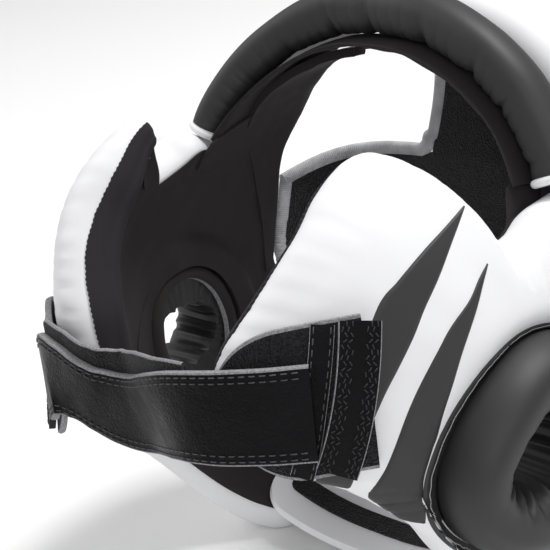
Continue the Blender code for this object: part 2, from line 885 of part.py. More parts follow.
def set_down(headgear, pieces):
    """Centre the lying headgear on the origin, with its lowest face on Z = 0."""
    bpy.context.view_layer.update()
    corners = [piece.matrix_world @ vertex.co for piece in pieces for vertex in piece.data.vertices]
    headgear.location = (
        -(min(c.x for c in corners) + max(c.x for c in corners)) / 2.0,
        -(min(c.y for c in corners) + max(c.y for c in corners)) / 2.0,
        -min(c.z for c in corners),
    )


def build_headgear():
    for old in list(bpy.data.objects):
        bpy.data.objects.remove(old)
    headgear = bpy.data.objects.new("headgear", None)
    bpy.context.scene.collection.objects.link(headgear)
    headgear.rotation_euler = (LYING_TILT, 0.0, 0.0)

    white = leather("white_leather", 0.84, 0.84, 0.86, 0.42)
    black = leather("black_leather", 0.022, 0.022, 0.025, 0.38)
    lining = leather("lining_suede", 0.020, 0.015, 0.016, 0.85)
    mesh_cloth = leather("facing_mesh", 0.016, 0.013, 0.014, 0.80)
    loop_cloth = leather("loop_cloth", 0.012, 0.010, 0.012, 0.92)

    pieces = []
    for side, word in ((1, "left"), (-1, "right")):
        pieces.append(make_guard("guard_" + word, side, white, headgear))
        pieces.append(make_lining("lining_" + word, side, lining, headgear))
        pieces.append(make_facing("facing_" + word, side, mesh_cloth, headgear))
        pieces.append(make_ear_roll("ear_roll_" + word, side, black, headgear))
        pieces.append(make_ear_rim("ear_rim_" + word, side, black, headgear))
        pieces.append(make_piping("piping_" + word, side, white, headgear))
        pieces.append(make_tab("chin_tab_" + word, side, loop_cloth, headgear))
        pieces.append(make_anchor("anchor_" + word, side, black, headgear))
    pieces.append(make_roll("brow_roll", black, headgear))
    pieces.append(make_brow_lining("brow_lining", lining, headgear))
    pieces.append(make_forehead_pad("forehead_pad", white, headgear))
    pieces.append(make_chin_strap("chin_strap", black, headgear))

    panel = -INNER_LAY - PANEL_SKIN
    inner_band = CROWN_BAND_WIDTH - 2.0 * STRAP_BORDER
    inner_strap = CROWN_STRAP_WIDTH - 2.0 * STRAP_BORDER
    pieces.append(make_crown_band("crown_band", CROWN_BAND_WIDTH, 0.0, 0.0, STRAP_SKIN, white, headgear))
    pieces.append(make_crown_band("crown_band_panel", inner_band, 4.0, panel, -INNER_LAY, loop_cloth, headgear))
    for face_side, word in ((True, "front"), (False, "back")):
        pieces.append(make_crown_strap(
            "crown_strap_" + word, CROWN_STRAP_WIDTH, face_side, 0.0, 0.0, STRAP_SKIN, white, headgear,
        ))
        pieces.append(make_crown_strap(
            "crown_strap_panel_" + word, inner_strap, face_side, 0.0, panel, -INNER_LAY, loop_cloth, headgear,
        ))

    nape = -INNER_LAY
    pieces.append(make_nape_strap(
        "nape_strap", NAPE_STRAP_WIDTH, NAPE_STRAP_SKIN, nape, 0.0, 0.0, white, headgear,
    ))
    pieces.append(make_nape_strap(
        "nape_stripe", NAPE_STRIPE_WIDTH, PANEL_SKIN, nape - NAPE_STRAP_SKIN - 2.0 * GAP, 10.0, 0.002,
        loop_cloth, headgear,
    ))
    set_down(headgear, pieces)


build_headgear()
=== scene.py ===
"""Looks of the boxing headgear, as it lies on its back: padded white guards with black stripes, black
ear rolls and brow roll, suede lining, bound crown cross, nape strap, brushed tabs and chin strap.

Head frame: X to the wearer's left, Y up to the crown, Z out of the face, origin between the ears. A
place is a turn about the head's upright axis, 0 at the left ear and 90 at the face, and a rise above
the ears, both in degrees. Heights count outwards from the head form, along its own normal.
"""
import math
from collections import namedtuple

import bmesh
import bpy
import numpy as np
from bpy.props import FloatProperty, FloatVectorProperty, PointerProperty
from mathutils import Matrix, Vector, noise
from mathutils.bvhtree import BVHTree


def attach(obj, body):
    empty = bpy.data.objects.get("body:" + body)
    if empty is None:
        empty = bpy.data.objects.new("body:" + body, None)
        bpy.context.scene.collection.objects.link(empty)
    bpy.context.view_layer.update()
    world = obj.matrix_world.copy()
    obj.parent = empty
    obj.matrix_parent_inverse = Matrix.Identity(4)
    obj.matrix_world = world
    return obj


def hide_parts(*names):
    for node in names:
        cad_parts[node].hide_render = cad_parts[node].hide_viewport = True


bl_info = {
    "name": "Boxing headgear looks",
    "version": (1, 0, 0),
    "blender": (4, 5, 0),
    "location": "3D View > Sidebar > Headgear",
    "description": "Builds the padded leather, linings, straps and stitching of a boxing headgear",
    "category": "Object",
}

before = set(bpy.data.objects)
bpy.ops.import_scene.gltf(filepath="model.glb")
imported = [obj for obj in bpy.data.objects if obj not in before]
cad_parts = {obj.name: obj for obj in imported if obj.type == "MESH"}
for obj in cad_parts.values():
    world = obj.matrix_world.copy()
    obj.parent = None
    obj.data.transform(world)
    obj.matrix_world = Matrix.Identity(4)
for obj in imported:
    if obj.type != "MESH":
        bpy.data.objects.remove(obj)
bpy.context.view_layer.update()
BODY = "root"
MM = 0.001

# Head space inside the padding, as in the solids
HEAD_HALF_WIDTH = 0.082
FACE_REACH = 0.104
NAPE_REACH = 0.082
CROWN_RISE = 0.106
JAW_DROP = 0.076
PLAN_SQUARENESS = 2.6
CROWN_SQUARENESS = 5.0
JAW_SQUARENESS = 2.6
RIGHT_CHEEK_TUCK = 0.0115
TUCK_TURN = 141.0
TUCK_RISE = -40.0
TUCK_HALF_TURN = 52.0
TUCK_HALF_RISE = 38.0

# How the head frame lies in the world
LYING_TILT = math.radians(7.0)
HEAD_AT = np.array((0.0, -0.00405, 0.0885))

Place = namedtuple("Place", "turn rise")
Step = namedtuple("Step", "inset height")
Ring = namedtuple("Ring", "out height")

CHEEK_EDGE = (
    Place(64.0, -4.0), Place(63.0, -12.0), Place(60.5, -20.0), Place(59.5, -30.0), Place(59.5, -40.0),
    Place(56.0, -47.5),
)
JAW_EDGE = (
    Place(48.0, -50.5), Place(38.0, -49.5), Place(29.0, -46.5), Place(20.0, -42.0), Place(9.0, -37.5),
    Place(-2.0, -33.0), Place(-13.0, -29.5), Place(-25.0, -22.0), Place(-34.0, -18.0),
    Place(-43.0, -14.5), Place(-52.0, -10.5), Place(-58.0, -6.0), Place(-60.0, 4.0),
    Place(-60.0, 16.0), Place(-56.0, 25.0), Place(-45.0, 30.0), Place(-30.0, 32.5),
    Place(-10.0, 33.5), Place(5.0, 33.0), Place(18.0, 36.0),
)
LEFT_TEMPLE = (
    Place(30.0, 38.5), Place(36.0, 39.5), Place(37.4, 37.5), Place(38.4, 29.3), Place(39.0, 22.4),
    Place(37.8, 17.0), Place(38.5, 11.5), Place(43.0, 7.5), Place(49.0, 6.5), Place(56.0, 4.0),
    Place(62.0, 0.0),
)
RIGHT_TEMPLE = (
    Place(28.0, 37.5), Place(33.0, 37.0), Place(36.0, 33.0), Place(41.6, 25.4), Place(46.2, 19.0),
    Place(50.3, 13.6), Place(49.6, 8.0), Place(49.2, 3.0), Place(49.2, -1.5), Place(50.8, -4.8),
    Place(54.0, -6.0), Place(57.2, -4.8), Place(59.4, -2.6), Place(61.4, -1.6), Place(63.2, -2.4),
)
RIGHT_TIP = Place(118.0, -3.0)
TIP_FLARE = 0.009
TIP_REACH = 6.0
BROW_LINE = (
    Place(41.45, 30.5), Place(47.0, 31.5), Place(55.1, 32.6), Place(63.0, 33.2), Place(73.5, 34.4),
    Place(81.4, 35.4), Place(91.2, 36.2), Place(101.0, 35.6), Place(110.0, 32.6), Place(118.5, 28.2),
    Place(125.5, 23.5), Place(131.0, 20.5),
)
BrowShape = namedtuple("BrowShape", "along top roll stand")
BROW_SHAPE = (
    BrowShape(0.0, 0.56, 0.95, 0.0010), BrowShape(0.25, 0.70, 1.0, 0.0045),
    BrowShape(0.42, 0.95, 1.0, 0.0060), BrowShape(0.62, 0.82, 1.0, 0.0055),
    BrowShape(0.80, 0.74, 0.90, 0.0035), BrowShape(1.0, 0.78, 0.78, 0.0),
)
ChinPlace = namedtuple("ChinPlace", "turn rise dip")
CHIN_LINE = (
    ChinPlace(39.4, -34.6, 0.0), ChinPlace(44.0, -39.0, 0.0), ChinPlace(50.0, -43.5, 0.0),
    ChinPlace(55.0, -46.3, 0.0005), ChinPlace(60.0, -48.9, 0.0025), ChinPlace(66.0, -52.1, 0.0065),
    ChinPlace(74.0, -55.6, 0.0115), ChinPlace(82.0, -58.1, 0.0150), ChinPlace(90.0, -59.5, 0.0165),
    ChinPlace(98.0, -59.6, 0.0160), ChinPlace(106.0, -58.2, 0.0135), ChinPlace(112.0, -55.6, 0.0095),
    ChinPlace(118.0, -51.6, 0.0045), ChinPlace(124.0, -48.4, 0.0005), ChinPlace(131.0, -47.3, -0.0004),
    ChinPlace(137.5, -46.8, -0.0009), ChinPlace(142.8, -45.6, -0.0010),
)
LEFT_TAB_LINE = (Place(36.1, -27.7), Place(38.5, -31.0), Place(43.5, -37.5), Place(49.5, -45.0))
RIGHT_TAB_LINE = (Place(158.0, -36.0), Place(153.0, -38.5), Place(144.0, -43.5), Place(132.0, -49.0))
LEFT_ANCHOR_ENDS = (Place(46.4, -22.9), Place(29.4, -37.6))
RIGHT_ANCHOR_ENDS = (Place(150.0, -26.5), Place(161.0, -47.0))
STRAP_END_LINE = (Place(48.6, -26.1), Place(39.6, -34.4), Place(29.4, -42.5))
NAPE_STRAP_ENDS = (Place(229.0, -1.0), Place(311.0, -1.0))

# Edges of the two black stripes on a cheek, from their points down to the jaw
STRIPE_FRONT = (
    (Place(47.8, 3.4), Place(47.2, -3.0), Place(46.7, -8.9), Place(45.9, -14.9), Place(44.6, -20.4),
     Place(37.0, -31.5), Place(31.0, -38.5), Place(24.5, -43.0)),
    (Place(47.5, 3.4), Place(45.2, -3.2), Place(42.7, -9.2), Place(40.4, -14.4), Place(38.1, -18.5),
     Place(33.2, -27.1), Place(27.6, -33.5), Place(19.8, -38.8)),
)
STRIPE_BACK = (
    (Place(39.4, 0.0), Place(38.4, -3.6), Place(37.0, -7.5), Place(34.8, -15.0), Place(28.8, -25.2),
     Place(21.0, -32.6), Place(14.5, -37.6), Place(5.0, -35.0)),
    (Place(39.1, 0.0), Place(36.0, -5.6), Place(31.3, -13.0), Place(27.0, -18.0), Place(23.4, -21.5),
     Place(20.5, -23.6), Place(17.7, -26.0), Place(13.0, -28.8), Place(8.0, -30.2), Place(2.0, -31.4)),
)

# The suede that joins the guards' linings to the brow's, from the guard's side to the brow's
LEFT_JOIN = (
    (Place(34.5, 37.0), Place(35.4, 30.0), Place(36.0, 24.0), Place(35.6, 19.0)),
    (Place(44.5, 39.5), Place(44.5, 34.5), Place(44.5, 29.0), Place(44.0, 24.8)),
)
RIGHT_JOIN = (
    (Place(148.5, 33.5), Place(143.0, 25.0), Place(138.0, 18.0), Place(133.5, 11.5)),
    (Place(127.0, 33.5), Place(127.0, 27.0), Place(127.0, 20.5), Place(127.0, 16.0)),
)

# The padding between the brow and the right guard, from its lower side to its upper edge
TEMPLE_LOWER = (
    Place(100.0, 36.0), Place(108.0, 34.0), Place(116.0, 30.0), Place(123.0, 26.5), Place(131.0, 26.0),
    Place(139.0, 28.0), Place(147.0, 30.0), Place(156.0, 31.0), Place(166.0, 31.0), Place(177.0, 29.0),
)
TEMPLE_UPPER = (
    Place(100.0, 38.8), Place(109.3, 40.0), Place(116.0, 40.8), Place(123.9, 41.1), Place(132.5, 41.2),
    Place(138.0, 40.4), Place(146.4, 38.2), Place(155.2, 36.9), Place(164.0, 35.6), Place(175.1, 32.2),
)

# Mesh edging from the brow's seam round the left eye notch
NOTCH_EDGING = (
    Place(96.5, 35.2), Place(91.4, 37.0), Place(81.3, 36.6), Place(73.6, 35.1), Place(66.2, 33.6),
    Place(60.4, 33.0), Place(54.1, 32.8), Place(49.0, 33.2), Place(44.3, 32.7), Place(39.8, 31.5),
    Place(36.6, 29.0), Place(34.6, 25.2), Place(34.4, 20.6), Place(35.4, 16.8), Place(38.6, 11.5),
)

# Section of a guard's edge: inset from its outline and height, in millimetres
EDGE_STEPS = (
    Step(2.2, 2.3), Step(0.9, 2.5), Step(0.0, 3.4), Step(-0.8, 5.2), Step(-1.2, 7.6),
    Step(-1.2, 10.0), Step(-0.9, 12.4), Step(-0.2, 14.7), Step(1.0, 16.9), Step(2.6, 18.8),
    Step(4.6, 20.4), Step(7.0, 21.7), Step(9.8, 22.7), Step(12.8, 23.4), Step(16.0, 23.9),
)

# The mesh facing: how far it bulges at heights, how far it wraps inwards along the cheek, and how high
# its sewn side runs, on the left by how far below the ears it is
FACING_HEIGHTS = (0.0, 0.0034, 0.0052, 0.0076, 0.0100, 0.0124, 0.0147, 0.0169, 0.0188)
FACING_BULGE = (-0.0002, 0.0002, 0.0008, 0.0012, 0.0012, 0.0009, 0.0002, -0.0010, -0.0026)
FACING_SHARES = (0.0, 0.12, 0.3, 0.5, 0.7, 1.0)
FACING_INSETS = (2.0, 5.0, 8.5, 3.5, 4.5, 7.0)
LEFT_FACING_DROPS = (4.0, 20.0, 35.0, 47.0)
LEFT_FACING_TOPS = (0.0120, 0.0135, 0.0168, 0.0175)
RIGHT_FACING_SHARES = (0.0, 0.07, 0.16, 0.28, 0.45, 0.65, 1.0)
RIGHT_FACING_TOPS = (0.0050, 0.0090, 0.0112, 0.0112, 0.0102, 0.0116, 0.0100)
ZIGZAG_PITCH = 0.0019

# Heights on a guard in millimetres, and the grid of its skin
PADDING_TOP = 24.3
EDGE_SEAM_HEIGHT = 19.0
EAR_SEAM_HEIGHT = 18.6
GUARD_FOOT = 2.3
PADDING_ROWS = 26
GUARD_COLUMNS = 400

# Ear openings, as in the solids
EAR_FORWARD = 0.002
EAR_LEVEL = -0.004
EAR_HALF_LENGTH = 0.035
EAR_HALF_HEIGHT = 0.040
TUNNEL_HALF_LENGTH = 0.013
TUNNEL_HALF_HEIGHT = 0.019
RIM_FORWARD = 0.003
RIM_LEVEL = 0.000
RIM_HALF_LENGTH = 0.031
RIM_HALF_HEIGHT = 0.024
ROLL_GAP = 0.0004
ARCH_WIDTH = 0.0125
ARCH_HEIGHT = 0.0034
LINING_TOP = 0.0020

# Section of an ear roll from its tunnel to its seam: how far out, and its height in mm
EAR_ROLL_STEPS = (
    Ring(0.02, 2.6), Ring(0.0, 8.0), Ring(0.0, 15.0), Ring(0.01, 21.0), Ring(0.05, 26.5),
    Ring(0.13, 31.0), Ring(0.26, 34.8), Ring(0.42, 36.8), Ring(0.58, 36.6), Ring(0.74, 34.2),
    Ring(0.88, 29.8), Ring(0.97, 24.6), Ring(1.0, 20.2), Ring(0.985, 17.4), Ring(0.97, 14.0),
)

# Section of an ear rim from its outside to the tunnel: inset and height in mm
EAR_RIM_STEPS = (
    Step(0.4, 1.1), Step(0.5, -0.2), Step(1.4, -1.8), Step(3.0, -2.8), Step(4.6, -2.7),
    Step(5.8, -1.7), Step(6.6, -0.3), Step(6.9, 1.1),
)

# The brow band, the crown cross and the straps
BROW_LINING_SHARES = (0.0, 0.12, 0.42, 0.62, 0.74)
BROW_LINING_DEPTHS = (0.0, 0.0, 0.08, 0.14, 1.0)
PAD_FOOT = 0.0023
PIPING_RADIUS = 0.0016
ROLL_SEAM_ANGLE = 2.45
ROLL_STATIONS = 300
BROW_ROLL_HEIGHT = 0.0190
BROW_ROLL_DEPTH = 0.0195
BROW_BAND_RISE = 0.032
BROW_SEAM = 0.011
ROLL_FOOT = 0.0026
BROW_FLARE = 0.008
STRAP_CLIMB = 0.0058 + BROW_FLARE
CROWN_BAND_WIDTH = 0.040
CROWN_BAND_FORWARD = 0.017
CROWN_STRAP_WIDTH = 0.045
CROWN_STRAP_SHIFT = -0.003
CROWN_STRAP_LEAN = 0.023
CROWN_THICKNESS = 0.0023
SHEET_INSET = 0.0015
CORNER_RADIUS = 0.007
NAPE_STRAP_WIDTH = 0.031
NAPE_STRAP_LEVEL = -0.0012
NAPE_STRIPE_WIDTH = 0.0090
CHIN_STRAP_WIDTH = 0.032
CHIN_NARROW_STEPS = (30, 80, 150, 190, 219)
CHIN_NARROWING = (0.0, 0.0026, 0.0030, 0.0012, 0.0)
BACKING_STEPS = (40, 75, 120, 160, 196)
BACKING_SHIFT = (-0.0030, -0.0066, -0.0070, -0.0052, -0.0040)
STRAP_GAP = 0.0009
CHIN_TAB_WIDTH = 0.052
TAB_FOOT = 0.0252
TAB_TOP = 0.0276
ANCHOR_LENGTH = 0.050
ANCHOR_WIDTH = 0.0135
ANCHOR_THICKNESS = 0.0026

# Rings of a stitch: along it, off the leather and how thick, as shares of its length and thickness
STITCH_RINGS = ((-0.5, -0.6, 0.5), (-0.36, 0.45, 1.0), (0.36, 0.45, 1.0), (0.5, -0.6, 0.5))
STITCH_SIDES = 5
TUBE_SIDES = 12
CAST_HEIGHT = 0.060
FLOOR_EDGE = 0.0008
RIB_PITCH = 0.0009

# The camera in the head frame
CAMERA_RIGHT = Vector((0.687, 0.6656, -0.2917))
CAMERA_UP = Vector((-0.1577, 0.5284, 0.8342))
CAMERA_SIDEWAYS = -0.0229
CAMERA_RAISED = 0.0389
CAMERA_AWAY = 0.620
CAMERA_LENS = 104.9
CAMERA_SENSOR = 36.0


class HeadgearSizes(bpy.types.PropertyGroup):
    """Sizes of the visible detail."""

    stitch: FloatProperty(
        name="Stitch", description="Length of a strap's stitches", default=0.0024, min=0.0005,
        unit="LENGTH")
    stitch_gap: FloatProperty(
        name="Stitch gap", description="Gap between a strap's stitches", default=0.0010, min=0.0,
        unit="LENGTH")
    thread: FloatProperty(
        name="Thread", description="Thickness of the thread", default=0.00045, min=0.0001, unit="LENGTH")
    grain: FloatProperty(
        name="Grain", description="Size of the leather's grain", default=0.0011, min=0.0002, unit="LENGTH")
    pucker: FloatProperty(
        name="Pucker", description="Depth of the puckers at the seams", default=0.0009, min=0.0,
        unit="LENGTH")
    roll_pucker: FloatProperty(
        name="Roll pucker", description="Depth of the folds in the ear tunnels", default=0.0016, min=0.0,
        unit="LENGTH")
    binding: FloatProperty(
        name="Binding", description="Width of the tape bound round the crown cross", default=0.0062,
        min=0.001, unit="LENGTH")
    strap: FloatProperty(
        name="Strap", description="Thickness of the chin strap", default=0.0030, min=0.0005, unit="LENGTH")


def colour_property(name, description, default):
    """A colour setting."""
    return FloatVectorProperty(
        name=name, description=description, default=default, size=3, min=0.0, max=1.0, subtype="COLOR")


class HeadgearColours(bpy.types.PropertyGroup):
    """Colours of the finishes."""

    white: colour_property("White leather", "Leather of the guards", (0.62, 0.62, 0.635))
    black: colour_property("Black leather", "Leather of the rolls and stripes", (0.0050, 0.0050, 0.0062))
    strap: colour_property("Strap leather", "Leather of the chin strap", (0.0040, 0.0036, 0.0046))
    lining: colour_property("Lining", "Suede of the lining", (0.038, 0.030, 0.032))
    mesh: colour_property("Mesh", "Coarse mesh along the cheeks", (0.0048, 0.0036, 0.0042))
    loops: colour_property("Loop cloth", "Brushed cloth of tabs and panels", (0.010, 0.009, 0.011))
    binding: colour_property("Binding", "Tape round the crown cross", (0.46, 0.46, 0.48))
    raw_edge: colour_property("Cut edge", "Cut edge of straps and tabs", (0.26, 0.26, 0.27))
    thread: colour_property("Thread", "Dark thread", (0.030, 0.029, 0.033))
    strap_thread: colour_property("Strap thread", "Thread on the straps", (0.075, 0.072, 0.080))
    floor: colour_property("Floor", "The floor it lies on", (0.93, 0.93, 0.93))


def form_point(turn, rise):
    """Points of the head form at turns and rises."""
    turn = np.radians(np.asarray(turn, float))
    rise = np.radians(np.asarray(rise, float))
    ray = np.stack([np.cos(turn) * np.cos(rise), np.sin(rise), np.sin(turn) * np.cos(rise)], -1)
    reach = np.where(ray[..., 2] >= 0.0, FACE_REACH, NAPE_REACH)
    level = np.where(ray[..., 1] >= 0.0, CROWN_RISE, JAW_DROP)
    power = np.where(ray[..., 1] >= 0.0, CROWN_SQUARENESS, JAW_SQUARENESS)
    across = np.abs(ray[..., 0] / HEAD_HALF_WIDTH) ** PLAN_SQUARENESS
    along = np.abs(ray[..., 2] / reach) ** PLAN_SQUARENESS
    plan = (across + along) ** (1.0 / PLAN_SQUARENESS)
    size = (plan ** power + np.abs(ray[..., 1] / level) ** power) ** (-1.0 / power)
    return ray * (size - cheek_tuck(turn, rise))[..., None]


def cheek_tuck(turn, rise):
    """How far the right cheek is pressed in at turns and rises in radians."""
    away = (turn - math.radians(TUCK_TURN)) % math.tau
    sideways = np.minimum(away, math.tau - away) / math.radians(TUCK_HALF_TURN)
    upwards = np.abs(rise - math.radians(TUCK_RISE)) / math.radians(TUCK_HALF_RISE)
    across = 0.5 + 0.5 * np.cos(math.pi * np.minimum(1.0, sideways))
    return RIGHT_CHEEK_TUCK * across * (0.5 + 0.5 * np.cos(math.pi * np.minimum(1.0, upwards)))


def unit(vectors):
    """Vectors brought to length 1."""
    return vectors / np.maximum(np.linalg.norm(vectors, axis=-1, keepdims=True), 1e-12)


def bell(value, centre, width):
    """A bell curve of height 1 round a centre."""
    return np.exp(-((value - centre) / width) ** 2)


def form_normal(turn, rise):
    """Outward directions of the head form."""
    step = 0.05
    forwards = form_point(turn + step, rise) - form_point(turn - step, rise)
    upwards = form_point(turn, rise + step) - form_point(turn, rise - step)
    return unit(np.cross(upwards, forwards))


def lift(turn, rise, height):
    """Points at heights above the head form, in the head frame."""
    turn, rise, height = np.broadcast_arrays(turn, rise, height)
    return form_point(turn, rise) + form_normal(turn, rise) * height[..., None]


def flared(turn, rise, height, side):
    """Lift places, with the right cheek's tip bent outwards on its inner side."""
    height = np.broadcast_to(height, np.shape(turn))
    if side > 0:
        return lift(turn, rise, height)
    away = ((turn - RIGHT_TIP.turn) ** 2 + (rise - RIGHT_TIP.rise) ** 2) / TIP_REACH ** 2
    share = np.clip(1.0 - height / (PADDING_TOP * MM), 0.0, 1.0)
    return lift(turn, rise, height + TIP_FLARE * np.exp(-away) * share)


def place_of(points):
    """Turns and rises of the directions in which points lie."""
    turn = np.degrees(np.arctan2(points[..., 2], points[..., 0]))
    rise = np.degrees(np.arctan2(points[..., 1], np.hypot(points[..., 0], points[..., 2])))
    return turn, rise


def place_under(points, height):
    """The places whose normals reach points that lie at a height above the head form."""
    turn, rise = place_of(points)
    height = np.asarray(height, float)[..., None]
    for _ in range(5):
        turn, rise = place_of(points - form_normal(turn, rise) * height)
    return turn, rise


def turned(vectors):
    """Head-frame directions in the world, with the headgear on its back."""
    cos, sin = math.cos(LYING_TILT), math.sin(LYING_TILT)
    return np.stack([
        vectors[..., 0],
        vectors[..., 1] * cos - vectors[..., 2] * sin,
        vectors[..., 1] * sin + vectors[..., 2] * cos,
    ], -1)


def to_world(points):
    """Head-frame points in the world, with the headgear on its back."""
    return turned(points) + HEAD_AT


def on_floor(points):
    """Press what would reach below the floor onto it, with a soft edge."""
    result = points.copy()
    level = points[..., 2]
    result[..., 2] = 0.5 * (level + np.sqrt(level * level + FLOOR_EDGE ** 2)) - 0.2 * FLOOR_EDGE
    result[..., 2] = np.maximum(result[..., 2], 0.0)
    return result


def smooth_line(rows, count, closed=False):
    """Values spread evenly along a smooth curve through the rows of a table."""
    rows = np.array([tuple(row) for row in rows], float)
    total = len(rows)
    spans = total if closed else total - 1
    t = (np.arange(24) / 24.0)[:, None]
    fine = []
    for span in range(spans):
        picks = np.arange(span - 1, span + 3)
        picks = picks % total if closed else np.clip(picks, 0, total - 1)
        a, b, c, d = rows[picks]
        fine.append(0.5 * (2 * b + (c - a) * t + (2 * a - 5 * b + 4 * c - d) * t ** 2
                           + (3 * b - a - 3 * c + d) * t ** 3))
    fine = np.concatenate(fine + [rows[:1] if closed else rows[-1:]])
    lengths = run_lengths(fine)
    goals = lengths[-1] * np.arange(count) / (count if closed else count - 1)
    return values_at(goals, lengths, fine)


def values_at(marks, reach, rows):
    """Rows of values read at distances along them."""
    return np.stack([np.interp(marks, reach, rows[:, column]) for column in range(rows.shape[1])], -1)


def sided(places, side):
    """Places as they are for the left side, and mirrored for the right one."""
    return list(places) if side > 0 else [Place(180.0 - turn, rise) for turn, rise in places]


def between(first, last, rows, across):
    """A grid of places between two lines of places, with columns at shares across."""
    first, last = smooth_line(first, rows), smooth_line(last, rows)
    return first[:, None] + (last - first)[:, None] * across[None, :, None]


def two_faced(inner, outer):
    """Rows of points that run across one face and back across the other."""
    return np.concatenate([inner, outer[:, ::-1]], axis=1)


def soft_noise(points, size, seed):
    """Smooth noise from -1 to 1 at points, with bumps of about a size."""
    flat = points.reshape(-1, 3) / size + seed * 17.3
    values = np.array([noise.noise(Vector(point)) for point in flat])
    return values.reshape(points.shape[:-1])


def run_lengths(points):
    """Distances along rows of points."""
    steps = np.linalg.norm(np.diff(points, axis=0), axis=-1)
    return np.concatenate([np.zeros((1,) + steps.shape[1:]), np.cumsum(steps, axis=0)])


def waved(points, depth, size, seed):
    """Points of the padding moved outwards and inwards by soft waves."""
    return points + unit(points) * (depth * soft_noise(points, size, seed))[..., None]


def grid_faces(rows, columns, closed):
    """Corner numbers of the faces of rings of points, with the last row joined to the first if closed."""
    down, right = np.meshgrid(np.arange(rows if closed else rows - 1), np.arange(columns), indexing="ij")
    here, below = down * columns, (down + 1) % rows * columns
    after = (right + 1) % columns
    return np.stack([here + right, here + after, below + after, below + right], -1).reshape(-1, 4)


def grid_piece(name, points, finishes, closed=False, paint=None):
    """A piece from rings of world points, closed into a ring itself or capped at both ends.

    paint gives each face's finish, by row and column.
    """
    rows, columns = points.shape[:2]
    quads = grid_faces(rows, columns, closed)
    faces = quads.tolist()
    if not closed:
        faces.append(list(range(columns)))
        faces.append(list(range((rows - 1) * columns, rows * columns)))
    mesh = bpy.data.meshes.new(name)
    mesh.from_pydata(points.reshape(-1, 3).tolist(), [], faces)
    along = run_lengths(points).mean(axis=1)
    across = run_lengths(points.transpose(1, 0, 2)).mean(axis=1)
    marks = mesh.uv_layers.new(name="cloth")
    down, right = np.divmod(quads, columns)
    down_next = np.where(down < down[:, :1], rows, down)
    right_next = np.where(right < right[:, :1], columns, right)
    along = np.append(along, along[-1] * rows / (rows - 1))
    across = np.append(across, across[-1] * columns / (columns - 1))
    flat = np.zeros((len(mesh.loops), 2))
    flat[:quads.size, 0] = along[down_next].reshape(-1)
    flat[:quads.size, 1] = across[right_next].reshape(-1)
    marks.data.foreach_set("uv", flat.reshape(-1).astype(np.float32))
    for finish in finishes:
        mesh.materials.append(finish_named(finish))
    if paint is not None:
        index = np.zeros(len(faces), np.int32)
        index[:len(quads)] = np.asarray(paint, np.int32).reshape(-1)
        mesh.polygons.foreach_set("material_index", index)
    return finished(name, mesh)


def finished(name, mesh, sharp=55.0):
    """Turn a mesh's faces outwards, shade it smooth and put it in the scene on the body."""
    shape = bmesh.new()
    shape.from_mesh(mesh)
    bmesh.ops.recalc_face_normals(shape, faces=shape.faces)
    shape.to_mesh(mesh)
    shape.free()
    mesh.shade_smooth()
    mesh.set_sharp_from_angle(angle=math.radians(sharp))
    piece = bpy.data.objects.new(name, mesh)
    bpy.context.scene.collection.objects.link(piece)
    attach(piece, BODY)
    return piece


def surface_of(piece):
    """A tree of a piece's faces that rays can be cast onto."""
    vertices = [vertex.co.copy() for vertex in piece.data.vertices]
    faces = [list(face.vertices) for face in piece.data.polygons]
    return BVHTree.FromPolygons(vertices, faces)


def drape(tree, turn, rise):
    """Points and outward directions where the head form's normals meet a surface from outside."""
    origins = to_world(lift(turn, rise, CAST_HEIGHT)).reshape(-1, 3)
    feet = to_world(lift(turn, rise, 0.0)).reshape(-1, 3)
    points = np.empty_like(origins)
    normals = np.empty_like(origins)
    for at, (origin, foot) in enumerate(zip(origins, feet)):
        direction = Vector(foot - origin).normalized()
        hit, normal, _, _ = tree.ray_cast(Vector(origin), direction)
        if hit is None:
            hit, normal = Vector(foot), -direction
        if normal.dot(direction) > 0.0:
            normal = -normal
        points[at] = hit
        normals[at] = normal
    return points.reshape(turn.shape + (3,)), normals.reshape(turn.shape + (3,))


def new_material(name, colour, roughness, **sockets):
    """A material with constant values on the shader's own sockets."""
    material = bpy.data.materials.new(name)
    material.use_nodes = True
    shader = material.node_tree.nodes["Principled BSDF"]
    shader.inputs["Base Color"].default_value = (*colour, 1.0)
    shader.inputs["Roughness"].default_value = roughness
    for socket, value in sockets.items():
        shader.inputs[socket.replace("_", " ")].default_value = value
    return material, shader


def add_node(material, kind, **values):
    """A node with its sockets set to values or linked to other nodes' sockets."""
    node = material.node_tree.nodes.new("ShaderNode" + kind)
    for socket, value in values.items():
        target = node.inputs[socket.replace("_", " ")]
        if isinstance(value, bpy.types.NodeSocket):
            material.node_tree.links.new(value, target)
        else:
            target.default_value = value
    return node


def tint(material, shader, factor, dark, light, low=0.3, high=0.7):
    """Blend the base colour between two tones by a factor."""
    ramp = add_node(material, "ValToRGB", Fac=factor)
    ramp.color_ramp.elements[0].position = low
    ramp.color_ramp.elements[1].position = high
    ramp.color_ramp.elements[0].color = (*dark, 1.0)
    ramp.color_ramp.elements[1].color = (*light, 1.0)
    material.node_tree.links.new(ramp.outputs["Color"], shader.inputs["Base Color"])


def bumps(material, shader, *layers):
    """Stack bump layers, each a height socket with its depth in metres."""
    normal = None
    for height, depth in layers:
        bump = add_node(material, "Bump", Height=height, Distance=depth, Strength=1.0)
        if normal is not None:
            material.node_tree.links.new(normal, bump.inputs["Normal"])
        normal = bump.outputs["Normal"]
    material.node_tree.links.new(normal, shader.inputs["Normal"])


def toned(colour, factor):
    """A colour made darker or lighter."""
    return tuple(min(1.0, channel * factor) for channel in colour)


def place_socket(material, cloth=False):
    """Where a texture is looked up: in space, or along and across the cloth."""
    coordinates = add_node(material, "TexCoord")
    return coordinates.outputs["UV" if cloth else "Object"]


